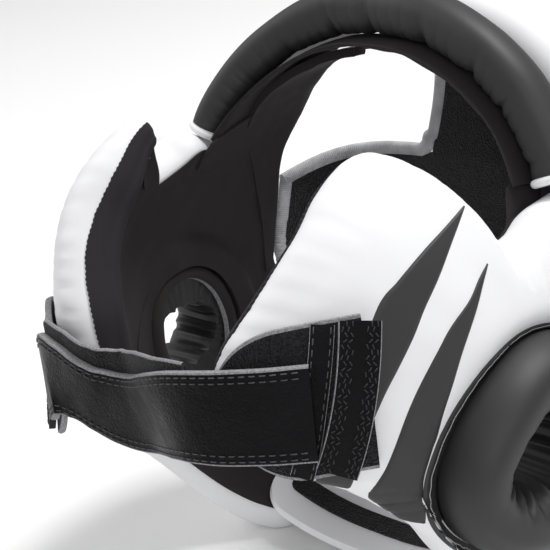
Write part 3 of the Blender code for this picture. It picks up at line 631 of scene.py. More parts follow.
def noise_factor(material, where, size, detail=2.0, roughness=0.5):
    """Smooth noise from 0 to 1 with bumps of about a size in metres."""
    texture = add_node(
        material, "TexNoise", Vector=where, Scale=1.0 / size, Detail=detail, Roughness=roughness)
    return texture.outputs["Fac"]


def leather(name, colour, roughness, grain, depth, coat, contrast=0.12, specular=0.09):
    """Grained leather: pebbles, fine creases, soft changes of tone and of gloss."""
    material, shader = new_material(
        name, colour, roughness, Coat_Weight=coat, Coat_Roughness=0.22, Specular_IOR_Level=specular)
    where = place_socket(material)
    pebbles = add_node(material, "TexVoronoi", Vector=where, Scale=1.0 / grain, Randomness=0.9)
    pebbles.feature = "SMOOTH_F1"
    pores = noise_factor(material, where, grain * 0.45, 3.0, 0.6)
    creases = noise_factor(material, where, grain * 9.0, 5.0, 0.62)
    drift = noise_factor(material, where, 0.035, 3.0)
    tint(material, shader, drift, toned(colour, 1.0 - contrast), toned(colour, 1.0 + contrast * 0.6))
    gloss = add_node(material, "MapRange", Value=creases, From_Min=0.3, From_Max=0.7,
                     To_Min=roughness - 0.07, To_Max=roughness + 0.09)
    material.node_tree.links.new(gloss.outputs["Result"], shader.inputs["Roughness"])
    bumps(material, shader, (creases, depth * 3.0), (pebbles.outputs["Distance"], depth),
          (pores, depth * 0.5))
    return material


def suede(name, colour):
    """Short-napped cloth with brushed patches and a soft sheen."""
    material, shader = new_material(
        name, colour, 0.95, Sheen_Weight=0.35, Sheen_Roughness=0.45, Specular_IOR_Level=0.15)
    shader.inputs["Sheen Tint"].default_value = (0.62, 0.55, 0.57, 1.0)
    where = place_socket(material)
    nap = noise_factor(material, where, 0.0007, 4.0, 0.7)
    brushed = noise_factor(material, where, 0.011, 4.0, 0.65)
    mixed = add_node(material, "Math", Value=nap)
    mixed.operation = "MULTIPLY"
    material.node_tree.links.new(brushed, mixed.inputs[1])
    tint(material, shader, mixed.outputs["Value"], toned(colour, 0.45), toned(colour, 2.1), 0.12, 0.42)
    bumps(material, shader, (brushed, 0.0009), (nap, 0.0003))
    return material


def mesh_cloth(name, colour):
    """Coarse mesh: rows of small dark holes between round threads."""
    material, shader = new_material(
        name, colour, 0.85, Sheen_Weight=0.1, Sheen_Roughness=0.5, Specular_IOR_Level=0.12)
    where = place_socket(material, cloth=True)
    holes = add_node(material, "TexVoronoi", Vector=where, Scale=1.0 / 0.0015, Randomness=0.12)
    fuzz = noise_factor(material, place_socket(material), 0.0006, 3.0, 0.7)
    tint(material, shader, holes.outputs["Distance"], toned(colour, 0.25), toned(colour, 3.2), 0.16, 0.55)
    bumps(material, shader, (holes.outputs["Distance"], 0.0009), (fuzz, 0.0003))
    return material


def loop_cloth(name, colour):
    """Brushed loops: a dense pile of fine curls."""
    material, shader = new_material(
        name, colour, 0.96, Sheen_Weight=0.3, Sheen_Roughness=0.35, Specular_IOR_Level=0.1)
    where = place_socket(material)
    curls = noise_factor(material, where, 0.0009, 6.0, 0.75)
    pile = add_node(material, "TexVoronoi", Vector=where, Scale=1.0 / 0.0008, Randomness=1.0)
    tint(material, shader, curls, toned(colour, 0.35), toned(colour, 4.2), 0.42, 0.72)
    bumps(material, shader, (curls, 0.0016), (pile.outputs["Distance"], 0.0006))
    return material


def tape(name, colour):
    """Woven binding tape with fine cross ribs."""
    material, shader = new_material(name, colour, 0.62, Sheen_Weight=0.15, Specular_IOR_Level=0.3)
    where = place_socket(material, cloth=True)
    ribs = add_node(material, "TexWave", Vector=where, Scale=1.0 / RIB_PITCH / 3.2, Distortion=0.6)
    ribs.bands_direction = "X"
    drift = noise_factor(material, place_socket(material), 0.009, 3.0)
    tint(material, shader, drift, toned(colour, 0.72), toned(colour, 1.25))
    bumps(material, shader, (ribs.outputs["Fac"], 0.00025))
    return material


def cut_edge(name, colour):
    """The raw fibres of a cut edge."""
    material, shader = new_material(name, colour, 0.9, Specular_IOR_Level=0.1)
    fibres = noise_factor(material, place_socket(material), 0.0007, 4.0, 0.7)
    tint(material, shader, fibres, toned(colour, 0.5), toned(colour, 1.7))
    bumps(material, shader, (fibres, 0.0005))
    return material


def thread(name, colour):
    """Twisted sewing thread."""
    material, shader = new_material(name, colour, 0.55, Specular_IOR_Level=0.35)
    strands = noise_factor(material, place_socket(material), 0.0004, 2.0)
    tint(material, shader, strands, toned(colour, 0.7), toned(colour, 1.4))
    bumps(material, shader, (strands, 0.0002))
    return material


def finish_named(name):
    """The finish of a name, made the first time that it is asked for."""
    found = bpy.data.materials.get(name)
    if found is not None:
        return found
    colours = bpy.context.scene.headgear_colours
    grain = bpy.context.scene.headgear_sizes.grain
    makers = {
        "white_leather": lambda: leather(
            name, colours.white, roughness=0.42, grain=grain, depth=0.00016, coat=0.08, contrast=0.03,
            specular=0.4),
        "black_leather": lambda: leather(
            name, colours.black, roughness=0.25, grain=grain, depth=0.00030, coat=0.045, specular=0.05),
        "strap_leather": lambda: leather(
            name, colours.strap, roughness=0.42, grain=grain * 0.8, depth=0.00026, coat=0.04,
            contrast=0.2),
        "lining_suede": lambda: suede(name, colours.lining),
        "facing_mesh": lambda: mesh_cloth(name, colours.mesh),
        "loop_pile": lambda: loop_cloth(name, colours.loops),
        "binding_tape": lambda: tape(name, colours.binding),
        "raw_edge": lambda: cut_edge(name, colours.raw_edge),
        "dark_thread": lambda: thread(name, colours.thread),
        "strap_thread": lambda: thread(name, colours.strap_thread),
        "seam_thread": lambda: thread(name, colours.binding),
    }
    return makers[name]()


def guard_edge(side):
    """Turns and rises of a guard's edge, on the left (1) or the right (-1)."""
    temple = LEFT_TEMPLE if side > 0 else RIGHT_TEMPLE
    line = smooth_line(CHEEK_EDGE + JAW_EDGE + temple, GUARD_COLUMNS, True)
    turn = line[:, 0] if side > 0 else 180.0 - line[:, 0]
    return turn, line[:, 1]


def oval(forward, level, half_length, half_height, angle, side):
    """Places of an oval on the side of the head form, at angles from forwards towards the crown."""
    angle = np.asarray(angle, float)
    points = np.stack([
        np.full(angle.shape, side * HEAD_HALF_WIDTH),
        level + half_height * np.sin(angle),
        forward + half_length * np.cos(angle),
    ], -1)
    turn, rise = place_of(points)
    return (turn if side > 0 else turn % 360.0), rise


def ear_angle(turn, rise, side):
    """Angles of places round the middle of the ear opening."""
    centre_turn, centre_rise = oval(EAR_FORWARD, EAR_LEVEL, 0.0, 0.0, 0.0, side)
    return np.arctan2(rise - centre_rise, side * (turn - centre_turn))


def guard_spokes(side, half_length=EAR_HALF_LENGTH, half_height=EAR_HALF_HEIGHT, forward=EAR_FORWARD,
                 level=EAR_LEVEL):
    """Places where spokes leave an opening round the ear and where they reach the guard's edge."""
    edge_turn, edge_rise = guard_edge(side)
    angle = ear_angle(edge_turn, edge_rise, side)
    return oval(forward, level, half_length, half_height, angle, side), (edge_turn, edge_rise)


def along_spokes(ear, edge, share):
    """Places part of the way from the ear opening to the edge."""
    return ear[0] + (edge[0] - ear[0]) * share, ear[1] + (edge[1] - ear[1]) * share


def gathers(points, spacing, wander, size, seed):
    """How deep a seam is gathered along its length, from 0 to 1, at a wandering spacing."""
    waves = math.tau * run_lengths(points) / spacing + wander * soft_noise(points, size, seed)
    return np.clip(np.cos(waves), 0.0, 1.0)


def edge_puckers(points, spacing, seed):
    """How deep a guard's edge seam is puckered along its length, from 0 to 1."""
    folds = gathers(points, spacing, 3.0, 0.022, seed) ** 2
    return folds * (0.6 + 0.4 * soft_noise(points, 0.04, seed + 5))


def guard_rows(side):
    """Rows of points of a guard's whole skin, closed round its section."""
    ear, edge = guard_spokes(side)
    seam = lift(*edge, 0.012)
    span = np.linalg.norm(seam - lift(*ear, 0.012), axis=-1)
    squeeze = np.minimum(1.0, 0.72 * span / (EDGE_STEPS[-1].inset * MM))
    depth = bpy.context.scene.headgear_sizes.pucker * edge_puckers(seam, 0.0085, 1.0 if side > 0 else 2.0)

    def row(share, height):
        return flared(*along_spokes(ear, edge, share), height, side)

    rows = []
    for inset, height in EDGE_STEPS:
        share = 1.0 - inset * MM * (squeeze if inset > 0.0 else 1.0) / span
        rows.append(row(share, height * MM - depth * bell(height, EDGE_SEAM_HEIGHT, 5.0)))
    last, start = share, height
    for step in range(1, PADDING_ROWS + 1):
        part = step / PADDING_ROWS
        share = last * (1.0 - part) ** 1.1
        rise_in = (PADDING_TOP - start) * math.sin(math.pi * min(1.0, part * 1.4) / 2.0)
        dip = (PADDING_TOP - EAR_SEAM_HEIGHT) * np.exp(-(share * span / MM / 4.6) ** 1.5)
        rows.append(row(share, (start + rise_in - dip) * MM))
    rows += [lift(*ear, height * MM) for height in (13.0, 8.0, GUARD_FOOT)]
    rows += [row(share * last, GUARD_FOOT * MM) for share in (0.3, 0.6, 0.85)]
    return rows


def make_guard(side, word):
    """A guard of stuffed leather, with soft dents over its padding."""
    points = np.array(guard_rows(side))
    outside = slice(4, len(EDGE_STEPS) + PADDING_ROWS)
    skin = points[outside]
    dents = 0.00085 * soft_noise(skin, 0.030, 3.0 * side) + 0.00035 * soft_noise(skin, 0.012, 7.0 * side)
    points[outside] = skin + form_normal(*place_of(skin)) * dents[..., None]
    piece = grid_piece("padded_guard_" + word, on_floor(to_world(points)), ["white_leather"], closed=True)
    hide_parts("guard_" + word)


def make_lining(side, word):
    """The suede on the inside of a guard, from the ear rim to the edge."""
    rim, edge = guard_spokes(
        side, RIM_HALF_LENGTH, RIM_HALF_HEIGHT, forward=RIM_FORWARD, level=RIM_LEVEL)
    shares = np.concatenate([np.linspace(0.0, 0.93, 30), [0.955, 0.975, 0.99, 1.0]])
    pucker = edge_puckers(lift(*edge, 0.0), 0.011, 4.0 * side)
    inner = []
    for share in shares:
        turn, rise = along_spokes(rim, edge, share)
        base = form_point(turn, rise)
        fall = 0.0010 * soft_noise(base, 0.026, 2.0 * side) + 0.0005 * soft_noise(base, 0.010, 9.0)
        height = (
            0.0004 + fall * min(1.0, 8.0 * (1.0 - share) + 0.1)
            + 0.0011 * bell(share, 1.0, 0.03) + 0.0008 * pucker * bell(share, 0.93, 0.05)
        )
        inner.append(flared(turn, rise, np.minimum(height, 0.0017) - arch_height(base), side))
    outer = [flared(*along_spokes(rim, edge, share), LINING_TOP, side) for share in shares[::-4]]
    points = on_floor(to_world(np.array(inner + outer)))
    piece = grid_piece("suede_lining_" + word, points, ["lining_suede"], closed=True)
    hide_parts("lining_" + word)


def arch_height(base):
    """How far the padding swells towards the head in an arch round the ear rim."""
    forward = (base[..., 2] - RIM_FORWARD) / (RIM_HALF_LENGTH + ARCH_WIDTH)
    level = (base[..., 1] - RIM_LEVEL) / (RIM_HALF_HEIGHT + ARCH_WIDTH)
    wall = 1.0 / (1.0 + np.exp((np.sqrt(forward ** 2 + level ** 2) - 0.97) / 0.022))
    upper = 1.0 / (1.0 + np.exp(-(level + 0.2) / 0.15))
    return ARCH_HEIGHT * wall * upper


def facing_line(side, count):
    """Places down the mesh on a cheek's front edge, and the height of its sewn side."""
    if side > 0:
        line = smooth_line(CHEEK_EDGE, count)
        return line[:, 0], line[:, 1], np.interp(-line[:, 1], LEFT_FACING_DROPS, LEFT_FACING_TOPS)
    line = smooth_line(sided(RIGHT_TEMPLE[-5:] + CHEEK_EDGE, side), count)
    share = np.linspace(0.0, 1.0, count)
    return line[:, 0], line[:, 1], np.interp(share, RIGHT_FACING_SHARES, RIGHT_FACING_TOPS)


def make_facing(side, word):
    """The mesh strip that closes the padding's front edge along the cheek, sewn on in zigzag."""
    count = 520
    turn, rise, top = facing_line(side, count)
    middle = flared(turn, rise, 0.004, side)
    normal = form_normal(turn, rise)
    outwards = unit(np.cross(unit(np.gradient(middle, axis=0)), normal)) * side
    teeth = np.abs((run_lengths(middle) / ZIGZAG_PITCH) % 1.0 - 0.5)
    teeth = 0.0009 * teeth + 0.00025 * soft_noise(middle, 0.004, 51.0)
    inset = np.interp(np.linspace(0.0, 1.0, count), FACING_SHARES, FACING_INSETS) * MM
    inset = inset if side < 0 else 0.4 * inset
    rows = [
        flared(turn, rise, low * MM, side) + outwards * (part * inset)[:, None]
        for part, low in ((-1.0, -1.5), (-0.7, -1.55), (-0.35, -1.3), (-0.1, -0.8))
    ]
    back = [row + normal * 0.0008 for row in rows]
    for part in np.linspace(0.06, 1.0, 12):
        height = part * top + (teeth if part == 1.0 else 0.0)
        bulge = 0.0007 + np.interp(height, FACING_HEIGHTS, FACING_BULGE)
        rows.append(flared(turn, rise, height, side) + outwards * bulge[:, None])
        back.append(rows[-1] - outwards * 0.0009)
    points = to_world(np.array(rows + back[::-1]).transpose(1, 0, 2))
    piece = grid_piece("mesh_facing_" + word, points, ["facing_mesh"])
    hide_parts("facing_" + word)


def make_ear_roll(side, word):
    """The stuffed ring round an ear tunnel, gathered towards the tunnel."""
    sizes = bpy.context.scene.headgear_sizes
    columns = 240
    angle = math.tau * np.arange(columns) / columns
    folds = np.sin(17 * angle + 1.3 * np.sin(3 * angle) + side) + 0.5 * np.sin(29 * angle + 2.0 * side)
    ridges = np.clip(np.cos(34 * angle + 2.0 * np.sin(5 * angle)), 0.0, 1.0) ** 2
    wide = EAR_HALF_LENGTH - ROLL_GAP - TUNNEL_HALF_LENGTH
    tall = EAR_HALF_HEIGHT - ROLL_GAP - TUNNEL_HALF_HEIGHT
    rows = []
    for share, height in smooth_line(EAR_ROLL_STEPS, 64):
        near = bell(max(share, 0.0), 0.0, 0.17)
        seam = bell(share, 1.0, 0.06) * (height < 24.0)
        spread = sizes.roll_pucker * near * folds * min(1.0, height / 8.0)
        turn, rise = oval(EAR_FORWARD, EAR_LEVEL, TUNNEL_HALF_LENGTH + wide * share + spread,
                          TUNNEL_HALF_HEIGHT + tall * share + spread, angle, side)
        lowered = 0.35 * sizes.roll_pucker * near * np.abs(folds) + 0.6 * sizes.pucker * seam * ridges
        rows.append(lift(turn, rise, height * MM - lowered))
    bottom = oval(EAR_FORWARD, EAR_LEVEL, EAR_HALF_LENGTH * 0.9, EAR_HALF_HEIGHT * 0.9, angle, side)
    rows.append(lift(*bottom, 0.0026))
    points = np.array(rows)
    drift = 0.0008 * soft_noise(points, 0.020, 11.0 * side)
    points = points + form_normal(*place_of(points)) * drift[..., None]
    piece = grid_piece("stuffed_ear_roll_" + word, to_world(points), ["black_leather"], closed=True)
    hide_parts("ear_roll_" + word)


def make_ear_seam(tree, side, word):
    """The flat leather band sewn down round an ear roll with light zigzag thread."""
    columns, across = 300, np.linspace(0.0, 1.0, 9)
    angle = math.tau * np.arange(columns) / columns
    width = 0.0024 + 0.0042 * np.clip(np.cos(angle + 1.05), 0.0, 1.0) ** 2
    ribbon = []
    for share in across:
        beyond = width * share - 0.0006
        ribbon.append(oval(EAR_FORWARD, EAR_LEVEL, EAR_HALF_LENGTH + beyond, EAR_HALF_HEIGHT + beyond,
                           angle, side))
    turn, rise = np.array(ribbon).transpose(1, 2, 0)
    points, _ = drape(tree, turn, rise)
    normals = turned(form_normal(turn, rise))
    stand = 0.0002 + 0.0007 * np.clip(np.minimum(across, 1.0 - across) / 0.12, 0.0, 1.0) ** 0.5
    top = points + normals * stand[:, None]
    piece = grid_piece("ear_seam_band_" + word, two_faced(top, points - normals * 0.0006),
                       ["black_leather"], closed=True)
    zigzag = (0.62 + 0.16 * (np.arange(2 * columns) % 2))[:, None]
    place = np.linspace(0.0, columns - 1.0, 2 * columns)
    line, outer = (values_at(place, np.arange(columns), top[:, column]) for column in (2, 6))
    away = normals[np.clip(place.astype(int), 0, columns - 2), 4]
    run = (line + (outer - line) * zigzag + away * 0.0002, away)
    stitching = stitches([run], "ear_seam_stitching_" + word, "seam_thread",
                         length=0.0014, gap=0.0004, thickness=0.00032)


def make_ear_rim(side, word):
    """The soft padded ring round the tunnel on the lining side, with its bound inner edge."""
    columns = 160
    angle = math.tau * np.arange(columns) / columns
    rows = []
    for inset, height in smooth_line(EAR_RIM_STEPS, 20):
        turn, rise = oval(RIM_FORWARD, RIM_LEVEL, RIM_HALF_LENGTH - inset * MM,
                          RIM_HALF_HEIGHT - inset * MM, angle, side)
        rows.append(lift(turn, rise, height * MM))
    points = waved(np.array(rows), 0.0004, 0.009, 21.0)
    paint = np.zeros((len(rows), columns))
    paint[-5:-1] = 1
    piece = grid_piece("padded_ear_rim_" + word, to_world(points), ["lining_suede", "raw_edge"],
                       closed=True, paint=paint)
    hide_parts("ear_rim_" + word)


def stripe_patch(tree, edges, side, name):
    """One thin leather stripe, draped over the cheek's padding."""
    across = np.linspace(0.0, 1.0, 15)
    places = between(sided(edges[0], side), sided(edges[1], side), 110, across)
    points, normals = drape(tree, places[..., 0], places[..., 1])
    width = np.linalg.norm(points[:, -1] - points[:, 0], axis=-1)
    inward = np.minimum(across, 1.0 - across)[None] * width[:, None]
    stand = 0.00055 * np.clip(inward / 0.0007, 0.0, 1.0) ** 0.5
    around = two_faced(points + normals * stand[..., None], points - normals * 0.0006)
    return grid_piece(name, around, ["black_leather"])


Band = namedtuple("Band", "centre along out across")


def band_stations(places, count, height):
    """Stations along a strap over the head form, in the head frame."""
    line = smooth_line(places, count)
    centre = lift(line[:, 0], line[:, 1], height)
    along = unit(np.gradient(centre, axis=0))
    out = form_normal(line[:, 0], line[:, 1])
    across = unit(np.cross(out, along))
    return Band(centre, along, unit(np.cross(along, across)), across)


def beside(band, offset, height, new_height):
    """Points beside a band's centre line, moved to another height along the head form's normal."""
    offset = np.broadcast_to(np.asarray(offset, float), band.centre.shape[:1])
    points = band.centre + band.across * offset[:, None]
    turn, rise = place_under(points, np.broadcast_to(height, offset.shape))
    return lift(turn, rise, np.broadcast_to(new_height, offset.shape))


def strap_section(width, thickness, sides, round_edge):
    """Offsets across and heights round the section of a flat strap with rounded edges."""
    flat = np.linspace(-0.5, 0.5, sides) * (width - 2.0 * round_edge)
    cut = 0.3 * round_edge
    top = [(a, thickness) for a in flat]
    bottom = [(a, 0.0) for a in flat[::-1]]
    right = [(width / 2.0 - cut, thickness - cut), (width / 2.0, thickness / 2.0),
             (width / 2.0 - cut, cut)]
    left = [(-a, h) for a, h in right[::-1]]
    return top + right + bottom + left


def edge_paint(rows, sides):
    """Which faces of a strap take its second finish: those on its two edges."""
    paint = np.zeros((rows, 2 * sides + 6))
    paint[:, sides - 1:sides + 3] = 1
    paint[:, 2 * sides + 2:] = 1
    return paint


def strap_piece(name, places, count, width, foot, thickness, finishes, height, end_round=(0.0, 0.0),
                sides=9):
    """A flat strap over the head form with rounded ends. Its edges take the second finish."""
    band = band_stations(places, count, height)
    reach = run_lengths(band.centre)
    share = np.ones(count)
    for distance, radius in ((reach, end_round[0]), (reach[-1] - reach, end_round[1])):
        if radius > 0.0:
            near = np.clip(1.0 - distance / radius, 0.0, 1.0)
            share = np.minimum(share, np.maximum(0.12, np.sqrt(1.0 - near ** 2)))
    columns = [
        beside(band, width * share * a, height, foot + thickness * h)
        for a, h in strap_section(1.0, 1.0, sides, 0.03)
    ]
    points = np.array(columns).transpose(1, 0, 2)
    piece = grid_piece(name, to_world(points), finishes,
                       paint=edge_paint(count - 1, sides))
    return piece, band


def stitch_corners(points, normals, length, gap, thickness):
    """Corners of the stitches along a run of points, by stitch, ring and corner."""
    reach = run_lengths(points)
    count = int(reach[-1] // (length + gap))
    marks = (np.arange(count) + 0.5) * reach[-1] / max(1, count)
    ahead = values_at(np.minimum(marks + length / 2.0, reach[-1]), reach, points)
    behind = values_at(np.maximum(marks - length / 2.0, 0.0), reach, points)
    along = unit(ahead - behind)
    out = unit(values_at(marks, reach, normals))
    side = unit(np.cross(along, out))
    centre = values_at(marks, reach, points)
    angle = (math.tau * np.arange(STITCH_SIDES) / STITCH_SIDES)[:, None]
    spread = side[:, None] * np.cos(angle) + out[:, None] * np.sin(angle)
    rings = []
    for slide, raised, fat in STITCH_RINGS:
        middle = centre + along * (slide * length) + out * (raised * thickness)
        rings.append(middle[:, None] + spread * (thickness / 2.0 * fat))
    return np.stack(rings, axis=1)


def stitches(runs, name, finish, length=None, gap=None, thickness=None):
    """Rows of stitches along runs of points and outward directions, as one piece."""
    sizes = bpy.context.scene.headgear_sizes
    measures = (length or sizes.stitch, gap or sizes.stitch_gap, thickness or sizes.thread)
    corners = np.concatenate([stitch_corners(*run, *measures).reshape(-1, 3) for run in runs])
    rings = len(STITCH_RINGS)
    size = rings * STITCH_SIDES
    shell = grid_faces(rings, STITCH_SIDES, False).tolist()
    shell += [list(range(STITCH_SIDES)), list(range(size - STITCH_SIDES, size))]
    faces = [
        [start + corner for corner in face] for start in range(0, len(corners), size) for face in shell
    ]
    mesh = bpy.data.meshes.new(name)
    mesh.from_pydata(corners.tolist(), [], faces)
    mesh.materials.append(finish_named(finish))
    return finished(name, mesh, 80.0)


def run_on_top(band, offset, foot, thickness):
    """A run of stitches on the top of a strap, beside its centre line, with outward directions."""
    line = to_world(beside(band, offset, foot, foot + thickness))
    return line, to_world(beside(band, offset, foot, foot + thickness + 0.01)) - line


def tube_piece(name, points, normals, wide, tall, finish, closed=False):
    """A round or flattened tube along world points, from half its width and half its height."""
    ahead = np.gradient(points, axis=0)
    if closed:
        ahead = np.roll(points, -1, axis=0) - np.roll(points, 1, axis=0)
    along = unit(ahead)
    side = unit(np.cross(along, normals))
    out = unit(np.cross(side, along))
    columns = [
        points + side * (wide * math.cos(angle)) + out * (tall * math.sin(angle))
        for angle in math.tau * np.arange(TUBE_SIDES) / TUBE_SIDES
    ]
    return grid_piece(name, np.array(columns).transpose(1, 0, 2), [finish], closed)


def brow_value(column, share):
    """A column of the brow band's table at shares of its length."""
    table = np.array(BROW_SHAPE)
    return np.interp(share, table[:, 0], table[:, BrowShape._fields.index(column)])


def roll_stations():
    """Stations along the middle of the brow roll, and how thick it is there."""
    band = band_stations(BROW_LINE, ROLL_STATIONS, 0.0)
    share = np.linspace(0.0, 1.0, ROLL_STATIONS)
    full = brow_value("roll", share)
    height = ROLL_FOOT + brow_value("stand", share) + BROW_ROLL_DEPTH / 2.0 * full
    centre = band.centre + band.out * height[:, None]
    along = unit(np.gradient(centre, axis=0))
    across = unit(np.cross(band.out, along))
    return Band(centre, along, unit(np.cross(along, across)), across), full


def make_brow_roll():
    """The stuffed roll along the brow, puckered along its inner seam."""
    pucker = bpy.context.scene.headgear_sizes.pucker
    sides = 44
    band, full = roll_stations()
    share = run_lengths(band.centre)
    share = share / share[-1]
    pull = gathers(band.centre, 0.026, 2.6, 0.03, 31.0) ** 5 * (0.35 + 0.65 * bell(share, 0.45, 0.26))
    fine = gathers(band.centre, 0.0062, 3.0, 0.02, 33.0) ** 2
    taper = full * (1.0 - 0.06 * np.exp(-share / 0.03) - 0.06 * np.exp(-(1.0 - share) / 0.03))
    columns = []
    for angle in math.tau * np.arange(sides) / sides:
        squared = 1.03 - 0.05 * math.cos(2.0 * angle) ** 2
        from_seam = math.atan2(math.sin(angle - ROLL_SEAM_ANGLE), math.cos(angle - ROLL_SEAM_ANGLE))
        sunk = bell(from_seam, 0.0, 0.85) * pucker * (2.6 * pull + 0.55 * fine)
        radius_out = BROW_ROLL_DEPTH / 2.0 * taper * squared - sunk
        radius_across = BROW_ROLL_HEIGHT / 2.0 * taper * squared - sunk
        columns.append(
            band.centre + band.out * (radius_out * math.cos(angle))[:, None]
            + band.across * (radius_across * math.sin(angle))[:, None])
    points = np.array(columns).transpose(1, 0, 2)
    drift = 0.0006 * soft_noise(points, 0.024, 35.0)
    points = points + unit(points - band.centre[:, None]) * drift[..., None]
    piece = grid_piece("stuffed_brow_roll", to_world(points), ["black_leather"])
    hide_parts("brow_roll")


def make_piping(side, word):
    """The rolled white edge round an end of the brow roll."""
    band, full = roll_stations()
    at = 0 if side > 0 else -1
    angle = (math.tau * np.arange(72) / 72)[:, None]
    out = band.out[at] * (BROW_ROLL_DEPTH / 2.0 * full[at] - 0.0010)
    across = band.across[at] * (BROW_ROLL_HEIGHT / 2.0 * full[at] - 0.0010)
    centre = band.centre[at] - band.along[at] * (0.0017 * side)
    points = to_world(centre + out * np.cos(angle) + across * np.sin(angle))
    piece = tube_piece("rolled_piping_" + word, points, unit(points - points.mean(axis=0)),
                       PIPING_RADIUS, PIPING_RADIUS, "white_leather", closed=True)
    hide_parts("piping_" + word)


def brow_layer(count, first, section, depth=1.0, flare=0.0):
    """Rows of a layer of the brow band; section holds shares up the band and heights."""
    band = band_stations(BROW_LINE, count, 0.0)
    along = np.linspace(0.0, 1.0, count)
    top = BROW_BAND_RISE * brow_value("top", along) * depth
    stand = brow_value("stand", along)
    columns = []
    for share, height in section:
        points = band.centre - band.across * (first + (top - first) * share)[:, None]
        raised = flare * share * np.interp(along, (0.6, 0.8), (1.0, 0.0))
        columns.append(lift(*place_of(points), height + stand + raised))
    return np.array(columns).transpose(1, 0, 2)


def make_brow_lining():
    """The suede behind the brow roll and the forehead padding."""
    count = 240
    shares = np.linspace(0.0, 1.0, 22)
    section = [(share, 0.0002 + 0.0012 * bell(min(share, 1.0 - share), 0.0, 0.03)) for share in shares]
    section += [(share, LINING_TOP) for share in shares[::-3]]
    depth = np.interp(np.linspace(0.0, 1.0, count), BROW_LINING_SHARES, BROW_LINING_DEPTHS)
    points = brow_layer(count, -BROW_SEAM, section, depth)
    wave = 0.0007 * soft_noise(points, 0.013, 41.0)
    wave[:, len(shares):] = 0.0
    points = points + unit(points) * wave[..., None]
    piece = grid_piece("suede_brow_lining", to_world(points), ["lining_suede"])
    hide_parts("brow_lining")


def make_forehead_pad():
    """The white padding above the roll, round at its edges."""
    count = 220
    swing = np.linspace(0.0, math.pi, 26)
    shares = 0.5 - 0.5 * np.cos(swing)
    section = [(share, PAD_FOOT + 0.0180 * full) for share, full in zip(shares, np.sin(swing) ** 0.42)]
    section += [(share, PAD_FOOT) for share in shares[-2:0:-4]]
    first = BROW_ROLL_HEIGHT / 2.0 * brow_value("roll", np.linspace(0.0, 1.0, count)) + 0.0006
    points = waved(brow_layer(count, first, section, flare=BROW_FLARE), 0.0008, 0.022, 45.0)
    piece = grid_piece("padded_forehead", to_world(points), ["white_leather"])
    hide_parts("forehead_pad")


def make_lining_join(side, word):
    """The suede between a guard's lining and the brow's."""
    ends = LEFT_JOIN if side > 0 else RIGHT_JOIN
    turn, rise = np.moveaxis(between(*ends, 40, np.linspace(0.0, 1.0, 14)), -1, 0)
    fall = 0.0005 * soft_noise(form_point(turn, rise), 0.012, 47.0)
    points = two_faced(lift(turn, rise, fall - 0.0004), lift(turn, rise, fall + 0.0006))
    piece = grid_piece("suede_join_" + word, to_world(points), ["lining_suede"])


def make_temple_padding():
    """The thin padding between the brow and the right guard, suede inside and leather outside."""
    rows, columns = 150, 16
    across = np.linspace(0.0, 1.0, columns)
    turn, rise = np.moveaxis(between(TEMPLE_LOWER, TEMPLE_UPPER, rows, across), -1, 0)
    base = form_point(turn, rise)
    fall = 0.0009 * soft_noise(base, 0.017, 55.0) + 0.0004 * soft_noise(base, 0.006, 57.0)
    edge = np.clip((1.0 - across) / 0.10, 0.0, 1.0) ** 0.5
    points = two_faced(lift(turn, rise, fall - 0.0006 + 0.0016 * (1.0 - edge)),
                       lift(turn, rise, 0.3 * fall + 0.0012 + 0.0016 * edge))
    paint = np.zeros((rows - 1, 2 * columns))
    paint[:, columns:2 * columns - 1] = 1
    piece = grid_piece("padded_temple_right", to_world(points), ["lining_suede", "white_leather"],
                       paint=paint)


def make_notch_edging():
    """The mesh edging that runs from the brow's seam round the left eye notch."""
    turn, rise = smooth_line(NOTCH_EDGING, 200).T
    points = waved(lift(turn, rise, 0.0035), 0.0004, 0.006, 49.0)
    piece = tube_piece("mesh_notch_edging", to_world(points), turned(form_normal(turn, rise)),
                       0.0019, 0.0011, "facing_mesh")


def settled(points, axis, value):
    """Places where points settle on the head form while one coordinate is held."""
    for _ in range(12):
        points = form_point(*place_of(points))
        points[..., axis] = value
    return place_of(points)


def over_crown(angle, forward):
    """Places over the crown in planes across the head, at angles from the left."""
    angle, forward = np.broadcast_arrays(np.radians(angle), forward)
    points = np.stack([np.cos(angle) * HEAD_HALF_WIDTH, np.sin(angle) * CROWN_RISE, forward], -1)
    return settled(points, 2, forward)


def down_crown(angle, sideways):
    """Places over the crown in planes along the head, at angles from the face."""
    angle, sideways = np.broadcast_arrays(np.radians(angle), sideways)
    reach = np.where(np.cos(angle) >= 0.0, FACE_REACH, NAPE_REACH)
    points = np.stack([sideways, np.sin(angle) * CROWN_RISE, np.cos(angle) * reach], -1)
    return settled(points, 0, sideways)


def guard_top(turn, side):
    """The rise of a guard's top edge above turns."""
    edge_turn, edge_rise = guard_edge(side)
    own = edge_turn if side > 0 else 180.0 - edge_turn
    own = (own + 180.0) % 360.0 - 180.0
    keep = (edge_rise > 20.0) & (own < 37.0)
    order = np.argsort(own[keep])
    at = np.asarray(turn, float) if side > 0 else 180.0 - np.asarray(turn, float)
    at = (at + 180.0) % 360.0 - 180.0
    return np.interp(at, own[keep][order], edge_rise[keep][order])


def crown_start(forward, side):
    """The angle at which the crown band clears a guard's top edge."""
    angles = np.arange(25.0, 80.0, 0.25)
    turn, rise = over_crown(angles if side > 0 else 180.0 - angles, forward)
    clear = rise > guard_top(turn, side) + 1.0
    return angles[int(np.argmax(clear))]


def crown_band_line(forward, count):
    """Places of a line over the crown from the left guard to the right one."""
    first = crown_start(forward, 1)
    last = 180.0 - crown_start(forward, -1)
    return over_crown(np.linspace(first, last, count), forward)


